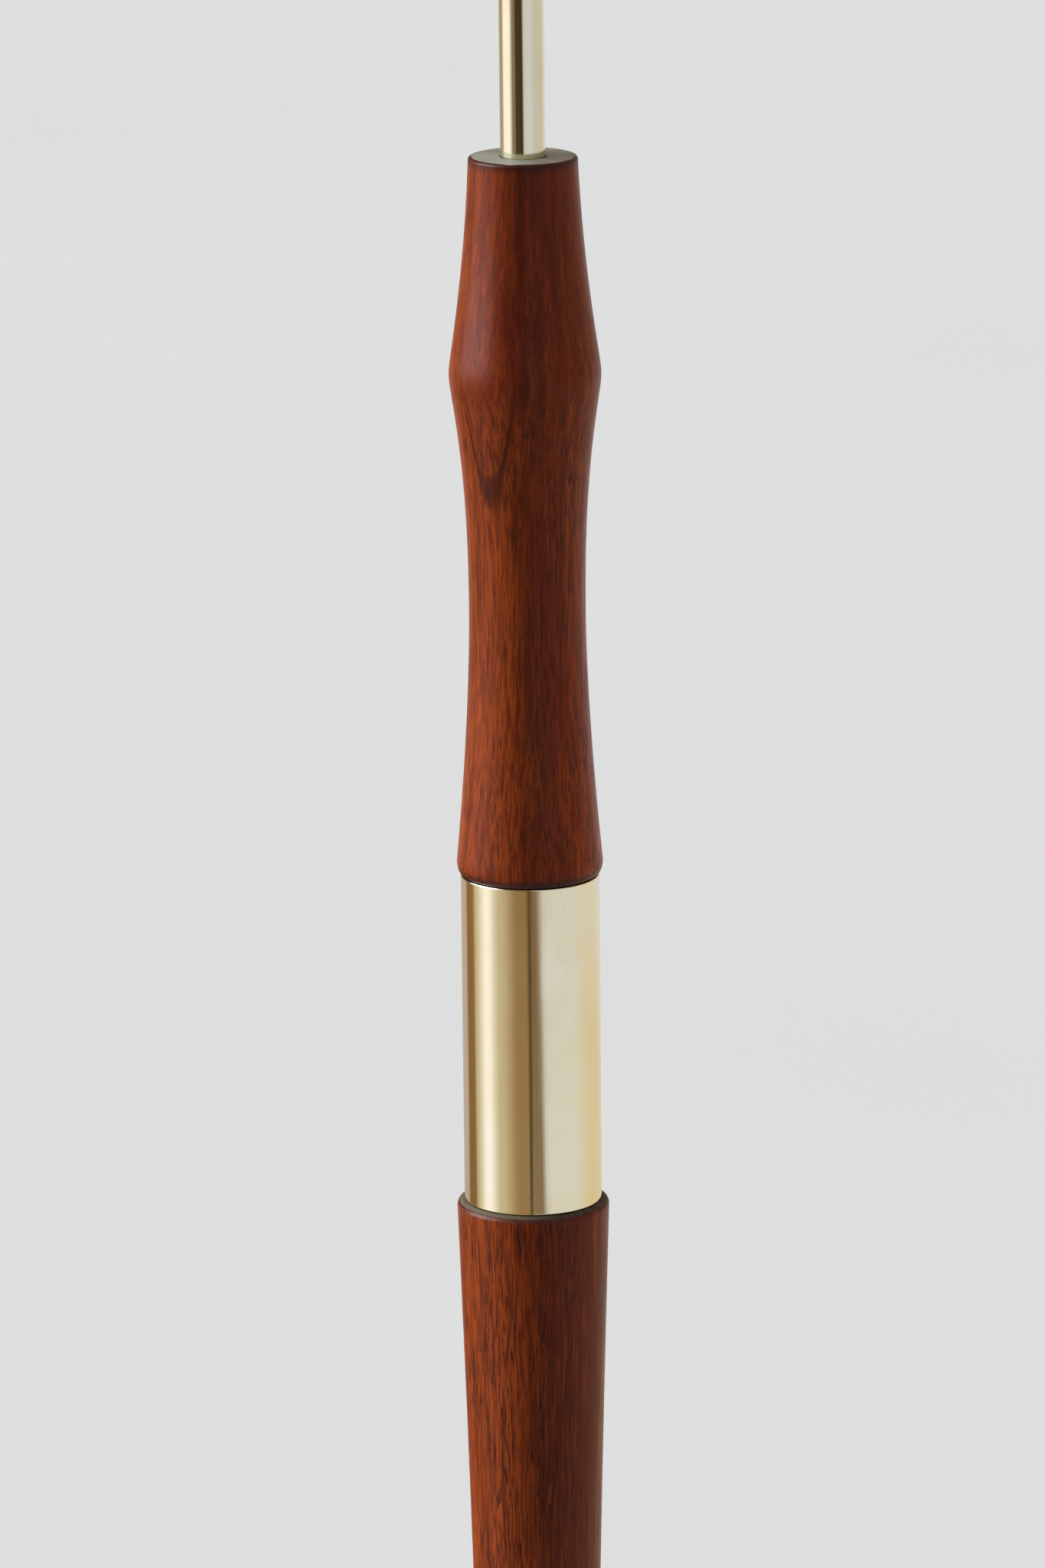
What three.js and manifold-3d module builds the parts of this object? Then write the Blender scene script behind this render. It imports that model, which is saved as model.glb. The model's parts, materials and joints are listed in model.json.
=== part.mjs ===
// A tension pole lamp that stands between floor and ceiling: a rubber pad in a brass foot cup, a brass tube,
// a stem of two turned wood pieces with a brass collar, three shades that swivel and tilt, and a sprung top.
// Millimetres, +Z up, with the origin under the middle of the foot pad.
import * as THREE from "three";
import { mergeVertices } from "three/addons/utils/BufferGeometryUtils.js";
import Module from "manifold-3d";

const wasm = await Module();
wasm.setup();

// Clearances
const seat = 0.3; // between two pieces that touch
const slip = 0.3; // round a shaft in the bore where it turns or slides
const woodSlip = 0.7; // round the brass tube where it enters the wood
const overrun = 3; // how far a cut runs past what it cuts

// Facets of round pieces
const stemSides = 32;
const shadeSides = 24;
const roundSides = 18;
const smallSides = 10;
const holeSides = 6;
const arcSteps = 2;

// Pole
const topHeight = 2440; // from the floor to the ceiling
const poleRadius = 8;
const poleWall = 1.2;
const poleBore = poleRadius - poleWall;
const woodSocket = 30; // how deep the tubes sit in the wood

// Foot and ceiling cups with their rubber pads
const padRadius = 22;
const padHeight = 7;
const padGrip = 3;
const padEdge = 1;
const cupRadius = 26;
const cupRim = 5;
const footHeight = 42;
const footNeck = 11;
const footNeckHeight = 14;
const footSocket = 22;
const grubRadius = 2;
const grubDrop = 6; // below the top of the foot's neck

// Cord inlet
const inletHeight = 78;
const inletRadius = 4;
const inletFlange = 6;
const inletFlangeHeight = 2.2;
const leadRadius = 2.5;

// Threaded pipe that ties the stem together, with its plugs, washers and nuts
const tieRadius = 4.9;
const tieBore = 3.5;
const tieEnd = 2; // how far the pipe stands out of its plugs
const plugLength = 22;
const washerRadius = 20;
const washerHeight = 2;
const nutRadius = 8.2; // across the corners, halved
const nutHeight = 6;

// Lower wood piece
const stemBase = 220;
const lowerLength = 420;
const lowerEnd = 19.3;
const lipRadius = 27.7;
const lipHeight = 2.5;
const lowerPower = 1.7; // of the taper: 1 is a straight cone
const woodEdge = 1.2;
const spigotRadius = 23.5;
const spigotHeight = 12;
const lowerSteps = 7;

// Collar
const collarRadius = 25;
const collarWall = 1.2;
const collarLength = 121.8;

// Upper wood piece, whose drops are measured down from its flat top
const upperLength = 262;
const upperTop = 19.5;
const apexRadius = 27.85; // where the two flanks of the ridge would meet
const ridgeDrop = 78.7;
const ridgeSoftness = 1.27;
const flareStraightShare = 0.36; // the rest of the flare rises by the power below
const flarePower = 2;
const waistRadius = 20.95;
const waistDrop = 166.2;
const waistUpPower = 2.45;
const waistDownPower = 1.64;
const baseRadius = 26.4;
const baseRound = 4.8;
const baseSeat = 24.2;
const flareSteps = 9;
const hollowSteps = 7;
const skirtSteps = 6;

// Heads
const headShares = [0.2969, 0.5179, 0.7389]; // of the bare pole between the stem and the lock collar
const headTurns = [-30, 210, 90].map((degrees) => THREE.MathUtils.degToRad(degrees));
const stopRadius = 11.5;
const stopHeight = 8;
const hubRadius = 13;
const hubHeight = 24;
const hubChamfer = 1.5;
const grooveRadius = 10.3;
const grooveHeight = 9;
const bossRadius = 6;
const bossReach = 21;
const armRadius = 4;
const armBore = 2.5;
const armReach = 100; // from the pole's axis to the tilt axis
const forkRadius = 8;
const forkWidth = 18;
const forkNeck = 14;
const tongueRadius = 7;
const tongueWidth = 6;
const screwRadius = 2.2;
const screwHead = 6.5;
const screwHeadHeight = 6;
const fluteShare = 0.12;
const flutes = 10;

// Tongue's foot, socket cup and lamp socket, measured down from the tilt axis
const neckRadius = 3;
const flangeDrop = 13;
const flangeRadius = 7;
const flangeHeight = 2;
const studRadius = 2.6;
const studLength = 6;
const holderRadius = 19;
const holderWall = 1.2;
const holderRound = 5;
const holderHeight = 46;
const threadRadius = 16;
const threadLength = 9;
const shellRadius = 13.6;
const shellDepth = 27;
const keyDrop = 24; // below the top of the holder
const keyShaft = 1.8;
const keyBead = 3.4;
const keyBeadHeight = 2;
const keyReach = 3;
const keyLength = 13;
const keyWidth = 12;
const keyThickness = 3;

// Shade and its ring
const crownRadius = 30;
const crownRound = 4;
const mouthRadius = 75;
const shadeHeight = 130;
const shadeWall = 1.2;
const shadePower = 1.2; // 1 is a straight cone
const shadeSteps = 4;
const rimRadius = 1.4;
const ventRadius = 2;
const ventCircle = 23.7;
const vents = 6;
const ringRadius = 20.2;
const ringHeight = 5;

// Bulb
const capRadius = 13;
const capHeight = 25;
const bulbRadius = 30;
const bulbLength = 108;
const bulbNeck = 15;

// Sprung top
const extensionRadius = 6.5;
const extensionWall = 1;
const extensionLength = 350;
const extensionReach = 230; // how far it stands out of the upper tube
const lockRadius = 13;
const lockBelow = 12;
const lockAbove = 14;
const lockScrewRadius = 2.5;
const lockScrewNeck = 2;
const capSkirt = 12;
const capWall = 1.6;
const capPlate = 4;
const plungerRadius = 3;
const plungerFlange = 5.1;
const plungerFlangeHeight = 8;
const topCupHeight = 44;
const topNeck = 7.5;
const topNeckHeight = 12;
const topSocket = 20;
const springLength = 137.4;
const springRadius = 6;
const springWire = 0.9;
const springTurns = 12;
const springSteps = 8;
const springSides = 5;

function standard(color, roughness, metalness) {
  return new THREE.MeshStandardMaterial({ color, roughness, metalness });
}
const brass = standard(0xc9b27c, 0.18, 1);
const steel = standard(0xb8babc, 0.35, 1);
const wood = standard(0x6b3320, 0.35, 0);
const rubber = standard(0x1d1c1b, 0.8, 0);
const plastic = standard(0x17130f, 0.4, 0);
const enamel = standard(0xefe9da, 0.3, 0);
const glass = standard(0xf7f5ef, 0.25, 0);
const leadJacket = standard(0x2a2622, 0.6, 0);

const lamp = new THREE.Group();

// Turns an outline of [radius, height] pairs about the Z axis.
function turned(outline, sides = roundSides) {
  const points = outline.map(([radius, height]) => new THREE.Vector2(radius, height));
  return new THREE.LatheGeometry(points, sides).rotateX(Math.PI / 2);
}

// The outline of a plain tube between two heights.
function ringOutline(outer, inner, from, to) {
  return [[inner, from], [outer, from], [outer, to], [inner, to], [inner, from]];
}

// A solid round bar between two heights.
function bar(radius, from, to, sides = smallSides) {
  return turned([[0, from], [radius, from], [radius, to], [0, to]], sides);
}

// Points of a quarter ellipse about a centre, from one angle to the other, without its first point.
function quarter(centre, reach, rise, start, end, steps = arcSteps) {
  return Array.from({ length: steps }, (_, i) => {
    const angle = start + ((end - start) * (i + 1)) / steps;
    return [centre[0] + reach * Math.cos(angle), centre[1] + rise * Math.sin(angle)];
  });
}

// Steps + 1 points of a curve given by a function of a share from 0 to 1.
function stations(steps, at) {
  return Array.from({ length: steps + 1 }, (_, i) => at(i / steps));
}

function toSolid(geometry) {
  const bare = geometry.clone();
  for (const name of ["normal", "uv"]) bare.deleteAttribute(name);
  const merged = mergeVertices(bare);
  return new wasm.Manifold(
    new wasm.Mesh({
      numProp: 3,
      vertProperties: new Float32Array(merged.attributes.position.array),
      triVerts: new Uint32Array(merged.index.array),
    }),
  );
}

function toGeometry(solid) {
  const mesh = solid.getMesh();
  return new THREE.BufferGeometry()
    .setAttribute("position", new THREE.BufferAttribute(mesh.vertProperties, mesh.numProp))
    .setIndex(new THREE.BufferAttribute(mesh.triVerts, 1));
}

// Joins the first list of geometries and cuts the second list out of them.
function shaped(joined, cuts = []) {
  const whole = joined.map(toSolid).reduce((a, b) => a.add(b));
  return toGeometry(cuts.map(toSolid).reduce((a, b) => a.subtract(b), whole));
}

const alongX = (geometry) => geometry.rotateY(Math.PI / 2);
const alongY = (geometry) => geometry.rotateX(-Math.PI / 2);

function add(name, geometry, material, parent = lamp) {
  const mesh = new THREE.Mesh(geometry, material);
  mesh.name = name;
  parent.add(mesh);
  return mesh;
}

function group(parent, position = [0, 0, 0], turn = 0) {
  const made = new THREE.Group();
  made.position.set(...position);
  made.rotation.z = turn;
  parent.add(made);
  return made;
}

// A rubber disc with a broken lower edge, standing on zero.
function pad() {
  return turned([
    [0, 0],
    [padRadius - padEdge, 0],
    [padRadius, padEdge],
    [padRadius, padHeight],
    [0, padHeight],
  ]);
}

// A bell with a recess for the pad below and a blind socket in its neck above.
function cup(height, neck, neckHeight, bore, depth) {
  const bottom = padHeight - padGrip;
  const recess = padRadius + seat;
  const rimTop = bottom + cupRim;
  const neckFoot = bottom + height - neckHeight;
  const flank = stations(arcSteps * 2, (share) => {
    const angle = (share * Math.PI) / 2;
    return [
      neck + (cupRadius - neck) * (1 - Math.sin(angle)),
      rimTop + (neckFoot - rimTop) * (1 - Math.cos(angle)),
    ];
  });
  return turned([
    [0, padHeight + seat],
    [recess, padHeight + seat],
    [recess, bottom],
    [cupRadius, bottom],
    ...flank,
    [neck, bottom + height],
    [bore, bottom + height],
    [bore, bottom + height - depth],
    [0, bottom + height - depth],
  ]);
}

// A knurled round head between two heights.
function knurled(radius, from, to) {
  const outline = new THREE.Shape(
    Array.from({ length: flutes * 2 }, (_, i) => {
      const reach = radius * (i % 2 ? 1 - fluteShare : 1);
      const angle = (i * Math.PI) / flutes;
      return new THREE.Vector2(reach * Math.cos(angle), reach * Math.sin(angle));
    }),
  );
  return new THREE.ExtrudeGeometry(outline, { depth: to - from, bevelEnabled: false }).translate(0, 0, from);
}

// Foot
const footTop = padHeight - padGrip + footHeight;
const footFloor = footTop - footSocket;
add("foot_pad", pad(), rubber);
add(
  "foot_cup",
  shaped(
    [cup(footHeight, footNeck, footNeckHeight, poleRadius + seat, footSocket)],
    [alongX(bar(grubRadius + seat, 0, footNeck + overrun)).translate(0, 0, footTop - grubDrop)],
  ),
  brass,
);
add(
  "foot_set_screw",
  alongX(bar(grubRadius, poleRadius + seat, footNeck)).translate(0, 0, footTop - grubDrop),
  steel,
);

// Stem: heights from the floor up
const lowerShoulder = stemBase + lowerLength;
const collarBottom = lowerShoulder + seat;
const collarTop = collarBottom + collarLength;
const upperShoulder = collarTop + seat;
const stemTop = upperShoulder + upperLength;
const tubeHole = poleRadius + woodSlip;
const tieHole = tieRadius + slip;
const lowerTubeTop = stemBase + woodSocket - seat;
const upperTubeBottom = stemTop - woodSocket + seat;
const lowerSpigotTop = lowerShoulder + spigotHeight;
const upperSpigotBottom = upperShoulder - spigotHeight;

// Sprung top: heights from the ceiling down, and the heads between it and the stem
const topCupBottom = topHeight - (padHeight - padGrip) - topCupHeight;
const springHead = topCupBottom - seat;
const springFoot = springHead - springLength;
const extensionTop = springFoot - seat - capPlate;
const extensionBottom = extensionTop - extensionLength;
const poleTop = extensionTop - extensionReach;
const headHeights = headShares.map((share) => stemTop + (poleTop - stemTop) * share);

add(
  "lower_tube",
  shaped(
    [turned(ringOutline(poleRadius, poleBore, footFloor + seat, lowerTubeTop))],
    [alongY(bar(inletRadius + seat, 0, poleRadius + overrun)).translate(0, 0, inletHeight)],
  ),
  brass,
);
const bushing = turned([
  [leadRadius + slip, poleBore],
  [inletRadius, poleBore],
  [inletRadius, poleRadius + seat],
  [inletFlange, poleRadius + seat],
  [inletFlange, poleRadius + inletFlangeHeight],
  [leadRadius + slip, poleRadius + inletFlangeHeight],
  [leadRadius + slip, poleBore],
]);
add("cord_bushing", alongY(bushing).translate(0, 0, inletHeight), plastic);

function plug(from) {
  return turned(ringOutline(poleBore - seat, tieHole, from, from + plugLength), smallSides);
}
add("lower_tube_plug", plug(lowerTubeTop - plugLength), steel);
add("upper_tube_plug", plug(upperTubeBottom), steel);
const tieBottom = lowerTubeTop - plugLength - tieEnd;
const tieTop = upperTubeBottom + plugLength + tieEnd;
add("tie_pipe", turned(ringOutline(tieRadius, tieBore, tieBottom, tieTop), smallSides), steel);

// Radius of the lower wood piece at a share of its length, from its lip at 0 to its end at 1.
function lowerRadius(share) {
  return lowerEnd + (lipRadius - lowerEnd) * (1 - share) ** lowerPower;
}
const taperTop = lowerShoulder - lipHeight;
add(
  "lower_wood",
  turned(
    [
      [tieHole, lowerTubeTop + seat],
      [tubeHole, lowerTubeTop + seat],
      [tubeHole, stemBase],
      [lowerEnd - woodEdge, stemBase],
      ...quarter([lowerEnd - woodEdge, stemBase + woodEdge], woodEdge, woodEdge, -Math.PI / 2, 0),
      ...stations(lowerSteps, (share) => [
        lowerRadius(1 - share),
        stemBase + woodEdge + (taperTop - stemBase - woodEdge) * share,
      ]).slice(1),
      ...quarter([collarRadius, taperTop], lipRadius - collarRadius, lipHeight, 0, Math.PI / 2),
      [spigotRadius, lowerShoulder],
      [spigotRadius, lowerSpigotTop],
      [tieHole, lowerSpigotTop],
      [tieHole, lowerTubeTop + seat],
    ],
    stemSides,
  ),
  wood,
);

add(
  "collar",
  turned(ringOutline(collarRadius, collarRadius - collarWall, collarBottom, collarTop), stemSides),
  brass,
);

// Radius of the upper wood piece at a drop below its top. Above the waist it is the lower of two flanks that
// meet in a ridge, rounded as a hyperbola; below the waist it is one hollow skirt.
function upperRadius(drop) {
  const rise = drop / ridgeDrop;
  const flare =
    upperTop +
    (apexRadius - upperTop) * (flareStraightShare * rise + (1 - flareStraightShare) * rise ** flarePower);
  const up = Math.abs(waistDrop - drop) / (waistDrop - ridgeDrop);
  const hollow = waistRadius + (apexRadius - waistRadius) * up ** waistUpPower;
  const down = Math.max(drop - waistDrop, 0) / (upperLength - baseRound - waistDrop);
  const skirt = waistRadius + (baseRadius - waistRadius) * down ** waistDownPower;
  if (drop > waistDrop) return skirt;
  return (flare + hollow - Math.hypot(flare - hollow, ridgeSoftness)) / 2;
}
const upperPoint = (drop) => [upperRadius(drop), stemTop - drop];
add(
  "upper_wood",
  turned(
    [
      [tieHole, upperSpigotBottom],
      [spigotRadius, upperSpigotBottom],
      [spigotRadius, upperShoulder],
      [baseSeat, upperShoulder],
      ...quarter([baseSeat, upperShoulder + baseRound], baseRadius - baseSeat, baseRound, -Math.PI / 2, 0),
      ...stations(skirtSteps, (share) =>
        upperPoint(upperLength - baseRound - (upperLength - baseRound - waistDrop) * share),
      ).slice(1),
      ...stations(hollowSteps, (share) => upperPoint(waistDrop - (waistDrop - ridgeDrop) * share)).slice(1),
      ...stations(flareSteps, (share) => upperPoint(ridgeDrop - (ridgeDrop - woodEdge) * share)).slice(1),
      ...quarter([upperRadius(woodEdge) - woodEdge, stemTop - woodEdge], woodEdge, woodEdge, 0, Math.PI / 2),
      [tubeHole, stemTop],
      [tubeHole, upperTubeBottom - seat],
      [tieHole, upperTubeBottom - seat],
      [tieHole, upperSpigotBottom],
    ],
    stemSides,
  ),
  wood,
);

// Washers and nuts in the collar's hollow
function nut(from) {
  const corners = 6;
  const outline = new THREE.Shape(
    Array.from({ length: corners }, (_, i) => {
      const angle = (i * 2 * Math.PI) / corners;
      return new THREE.Vector2(nutRadius * Math.cos(angle), nutRadius * Math.sin(angle));
    }),
  );
  outline.holes.push(new THREE.Path().absarc(0, 0, tieHole, 0, 2 * Math.PI, true));
  const options = { depth: nutHeight, bevelEnabled: false, curveSegments: smallSides };
  return new THREE.ExtrudeGeometry(outline, options).translate(0, 0, from);
}
const lowerWasher = lowerSpigotTop + seat;
const upperWasher = upperSpigotBottom - seat - washerHeight;
const washer = (from) => turned(ringOutline(washerRadius, tieHole, from, from + washerHeight));
add("lower_washer", washer(lowerWasher), steel);
add("lower_nut", nut(lowerWasher + washerHeight + seat), steel);
add("upper_washer", washer(upperWasher), steel);
add("upper_nut", nut(upperWasher - seat - nutHeight), steel);

// Upper tube, with a lead hole at each head
add(
  "upper_tube",
  shaped(
    [turned(ringOutline(poleRadius, poleBore, upperTubeBottom, poleTop))],
    headHeights.map((height, i) =>
      alongX(bar(armBore, 0, poleRadius + overrun)).rotateZ(headTurns[i]).translate(0, 0, height),
    ),
  ),
  brass,
);
add("pole_lead", bar(leadRadius, inletHeight - inletRadius, headHeights.at(-1), holeSides), leadJacket);

// One head: everything that turns is built round its hub at the origin, with the arm along +X.
function hub() {
  const bore = poleRadius + slip;
  const half = hubHeight / 2;
  const groove = grooveHeight / 2;
  const ring = turned([
    [bore, -half],
    [hubRadius - hubChamfer, -half],
    [hubRadius, hubChamfer - half],
    [hubRadius, half - hubChamfer],
    [hubRadius - hubChamfer, half],
    [bore, half],
    [bore, groove],
    [grooveRadius, groove],
    [grooveRadius, -groove],
    [bore, -groove],
    [bore, -half],
  ]);
  const bossFoot = (grooveRadius + hubRadius) / 2;
  return shaped(
    [ring, alongX(bar(bossRadius, bossFoot, bossReach))],
    [alongX(bar(armRadius + seat, poleRadius, bossReach + overrun))],
  );
}

const slotHalf = tongueWidth / 2 + slip;
const forkHalf = forkWidth / 2;

function arm() {
  const slotDepth = tongueRadius + slip;
  const slotReach = slotDepth + forkRadius + overrun;
  const neckFrom = armReach - forkRadius - forkNeck;
  const neck = turned([
    [0, neckFrom],
    [armRadius, neckFrom],
    [forkRadius, armReach - tongueRadius],
    [0, armReach - tongueRadius],
  ]);
  const slot = new THREE.BoxGeometry(slotReach, 2 * slotHalf, 2 * (forkRadius + overrun));
  return shaped(
    [
      alongX(bar(armRadius, grooveRadius + seat, neckFrom + armRadius)),
      alongX(neck),
      alongY(bar(forkRadius, -forkHalf, forkHalf)).translate(armReach, 0, 0),
    ],
    [
      slot.translate(armReach - slotDepth + slotReach / 2, 0, 0),
      alongX(bar(armBore, grooveRadius, armReach)),
      alongY(bar(screwRadius + slip, -forkHalf - overrun, forkHalf + overrun)).translate(armReach, 0, 0),
    ],
  );
}

const holderTop = -(flangeDrop + flangeHeight + seat);
const holderBottom = holderTop - holderHeight;
const socketTop = holderTop - holderWall - seat;

function tongue() {
  const half = tongueWidth / 2;
  return shaped(
    [
      alongY(bar(tongueRadius, -half, half)),
      bar(neckRadius, -flangeDrop - flangeHeight / 2, -tongueRadius / 2),
      bar(flangeRadius, -flangeDrop - flangeHeight, -flangeDrop),
      bar(studRadius, socketTop - studLength + seat, -flangeDrop - flangeHeight / 2),
    ],
    [alongY(bar(screwRadius + slip, -half - overrun, half + overrun))],
  );
}

function tiltScrew() {
  const headFoot = forkHalf + seat;
  return shaped([
    alongY(bar(screwRadius, -forkHalf, headFoot + screwHeadHeight / 2)),
    alongY(knurled(screwHead, headFoot, headFoot + screwHeadHeight)),
  ]);
}

// The holder is the brass cup that covers the socket.
function holder() {
  const inner = holderRadius - holderWall;
  const hole = studRadius + slip;
  const centre = [holderRadius - holderRound, holderTop - holderRound];
  const outside = quarter(centre, holderRound, holderRound, Math.PI / 2, 0).reverse();
  const round = holderRound - holderWall;
  const inside = quarter(centre, round, round, 0, Math.PI / 2);
  const outline = [
    [hole, holderTop - holderWall],
    ...inside.reverse(),
    [inner, centre[1]],
    [inner, holderBottom],
    [holderRadius, holderBottom],
    ...outside,
    [centre[0], holderTop],
    [hole, holderTop],
    [hole, holderTop - holderWall],
  ];
  return shaped(
    [turned(outline)],
    [alongY(bar(keyShaft + slip, 0, holderRadius + overrun)).translate(0, 0, holderTop - keyDrop)],
  );
}

const shadeTop = holderBottom - seat;
const shadeInside = shadeTop - shadeWall;
const socketBottom = holderBottom - threadLength;
const shellTop = socketBottom + shellDepth;

function socket() {
  const body = holderRadius - holderWall - seat;
  const stud = studRadius + slip;
  const shoulder = socketTop - (holderRound - holderWall);
  return turned([
    [0, shellTop],
    [shellRadius, shellTop],
    [shellRadius, socketBottom],
    [threadRadius, socketBottom],
    [threadRadius, holderBottom],
    [body, holderBottom],
    [body, shoulder],
    [holderRadius - holderRound, socketTop],
    [stud, socketTop],
    [stud, socketTop - studLength],
    [0, socketTop - studLength],
  ]);
}

// A flat key on a short shaft, pointing along +Y.
function switchKey() {
  const shaftFoot = holderRadius - holderWall;
  const beadFoot = holderRadius + seat;
  const bladeFoot = beadFoot + keyBeadHeight + keyReach;
  const blade = new THREE.Shape()
    .moveTo(-keyShaft, 0)
    .lineTo(keyShaft, 0)
    .absarc(0, keyLength - keyWidth / 2, keyWidth / 2, 0, Math.PI, false);
  const options = { depth: keyThickness, bevelEnabled: false, curveSegments: arcSteps * 2 };
  const flat = new THREE.ExtrudeGeometry(blade, options).translate(0, bladeFoot, -keyThickness / 2);
  return shaped([
    alongY(bar(keyShaft, shaftFoot, bladeFoot + keyLength / 2)),
    alongY(bar(keyBead, beadFoot, beadFoot + keyBeadHeight)),
    flat.rotateY(Math.PI / 2),
  ]).translate(0, 0, holderTop - keyDrop);
}

// Outer radius of the shade at a share of its flank, from the crown at 0 to the mouth at 1.
const shadeRadius = (share) => crownRadius + (mouthRadius - crownRadius) * share ** shadePower;

function shade() {
  const hole = threadRadius + seat;
  const flankTop = shadeTop - crownRound;
  const mouth = shadeTop - shadeHeight;
  const centre = [crownRadius - crownRound, flankTop];
  const outer = stations(shadeSteps, (share) => [shadeRadius(share), flankTop + (mouth - flankTop) * share]);
  const inner = outer.map(([radius, height]) => [radius - shadeWall, height]);
  const roll = quarter([mouthRadius, mouth], rimRadius, rimRadius, Math.PI / 2, -Math.PI, arcSteps + 1);
  const round = crownRound - shadeWall;
  const outline = [
    [hole, shadeInside],
    [centre[0], shadeInside],
    ...quarter(centre, round, round, Math.PI / 2, 0),
    ...inner.slice(1, -1),
    [mouthRadius - shadeWall, mouth],
    ...roll.reverse().slice(1),
    ...outer.slice(1, -1).reverse(),
    [crownRadius, flankTop],
    ...quarter(centre, crownRound, crownRound, 0, Math.PI / 2),
    [hole, shadeTop],
    [hole, shadeInside],
  ];
  return shaped(
    [turned(outline, shadeSides)],
    Array.from({ length: vents }, (_, i) =>
      bar(ventRadius, shadeInside - overrun, shadeTop + overrun, holeSides)
        .translate(ventCircle, 0, 0)
        .rotateZ(((i + 1 / 2) * 2 * Math.PI) / vents),
    ),
  );
}

function shadeRing() {
  const top = shadeInside - seat;
  return turned(ringOutline(ringRadius, threadRadius + seat, top - ringHeight, top));
}

function bulb() {
  const top = shellTop - seat;
  const tip = top - bulbLength;
  const glassTop = top - capHeight;
  const centre = tip + bulbRadius;
  const shoulder = Math.PI / 4;
  const ball = stations(arcSteps * 3, (share) => {
    const angle = (Math.PI / 2 + shoulder) * share - Math.PI / 2;
    return [bulbRadius * Math.cos(angle), centre + bulbRadius * Math.sin(angle)];
  });
  return turned([
    ...ball,
    [bulbNeck, glassTop - bulbNeck / 2],
    [capRadius, glassTop],
    [capRadius, top],
    [0, top],
  ]);
}

headHeights.forEach((height, i) => {
  const name = `head_${i + 1}`;
  const head = group(lamp, [0, 0, height], headTurns[i]);
  const stopTop = -hubHeight / 2 - seat;
  const stop = ringOutline(stopRadius, poleRadius + seat, stopTop - stopHeight, stopTop);
  add(`${name}_stop`, turned(stop), brass, head);
  add(`${name}_hub`, hub(), brass, head);
  add(`${name}_arm`, arm(), brass, head);
  const tilt = group(head, [armReach, 0, 0]);
  add(`${name}_tilt_screw`, tiltScrew(), brass, tilt);
  add(`${name}_tongue`, tongue(), brass, tilt);
  add(`${name}_holder`, holder(), brass, tilt);
  add(`${name}_socket`, socket(), plastic, tilt);
  add(`${name}_switch_key`, switchKey(), plastic, tilt);
  add(`${name}_shade`, shade(), enamel, tilt);
  add(`${name}_shade_ring`, shadeRing(), plastic, tilt);
  add(`${name}_bulb`, bulb(), glass, tilt);
});

// Sprung top
const extensionBore = extensionRadius - extensionWall;
add(
  "extension_tube",
  turned(ringOutline(extensionRadius, extensionBore, extensionBottom, extensionTop)),
  brass,
);
const lockTop = poleTop + seat + lockAbove;
const lockScrewHeight = poleTop + seat + lockAbove / 2;
const lockOutline = [
  [extensionRadius + slip, poleTop + seat],
  [poleRadius + seat, poleTop + seat],
  [poleRadius + seat, poleTop - lockBelow],
  [lockRadius - hubChamfer, poleTop - lockBelow],
  [lockRadius, poleTop - lockBelow + hubChamfer],
  [lockRadius, lockTop - hubChamfer],
  [lockRadius - hubChamfer, lockTop],
  [extensionRadius + slip, lockTop],
  [extensionRadius + slip, poleTop + seat],
];
const lockHole = alongX(bar(lockScrewRadius + slip, 0, lockRadius + overrun));
add("lock_collar", shaped([turned(lockOutline)], [lockHole.translate(0, 0, lockScrewHeight)]), brass);
const lockHeadFoot = lockRadius + lockScrewNeck;
add(
  "lock_screw",
  alongX(
    shaped([
      bar(lockScrewRadius, extensionRadius + seat, lockHeadFoot + screwHeadHeight / 2),
      knurled(screwHead, lockHeadFoot, lockHeadFoot + screwHeadHeight),
    ]),
  ).translate(0, 0, lockScrewHeight),
  brass,
);

const capOuter = extensionRadius + slip + capWall;
const plungerHole = plungerRadius + slip;
add(
  "end_cap",
  turned([
    [plungerHole, extensionTop + seat],
    [extensionRadius + slip, extensionTop + seat],
    [extensionRadius + slip, extensionTop - capSkirt],
    [capOuter, extensionTop - capSkirt],
    [capOuter, extensionTop + capPlate],
    [plungerHole, extensionTop + capPlate],
    [plungerHole, extensionTop + seat],
  ]),
  brass,
);

const topCup = group(lamp, [0, 0, topHeight]);
topCup.rotation.x = Math.PI;
add("ceiling_pad", pad(), rubber, topCup);
add("ceiling_cup", cup(topCupHeight, topNeck, topNeckHeight, plungerRadius + seat, topSocket), brass, topCup);
add(
  "plunger",
  turned(
    [
      [0, extensionTop - plungerFlangeHeight],
      [plungerFlange, extensionTop - plungerFlangeHeight],
      [plungerFlange, extensionTop],
      [plungerRadius, extensionTop],
      [plungerRadius, topCupBottom + topSocket - seat],
      [0, topCupBottom + topSocket - seat],
    ],
    smallSides,
  ),
  steel,
);

// The spring is one wire: a helix whose ends stand up straight for one wire diameter.
const springStub = 2 * springWire;
const turnSteps = springTurns * springSteps;
function springPoint(step) {
  const angle = (step * 2 * Math.PI) / springSteps;
  const share = step / turnSteps;
  const height = springFoot + springStub + (springHead - springFoot - 2 * springStub) * share;
  return new THREE.Vector3(springRadius * Math.cos(angle), springRadius * Math.sin(angle), height);
}
const coilLine = Array.from({ length: turnSteps + 1 }, (_, i) => springPoint(i));
const springLine = [
  coilLine[0].clone().setZ(springFoot),
  ...coilLine,
  coilLine.at(-1).clone().setZ(springHead),
];

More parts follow.
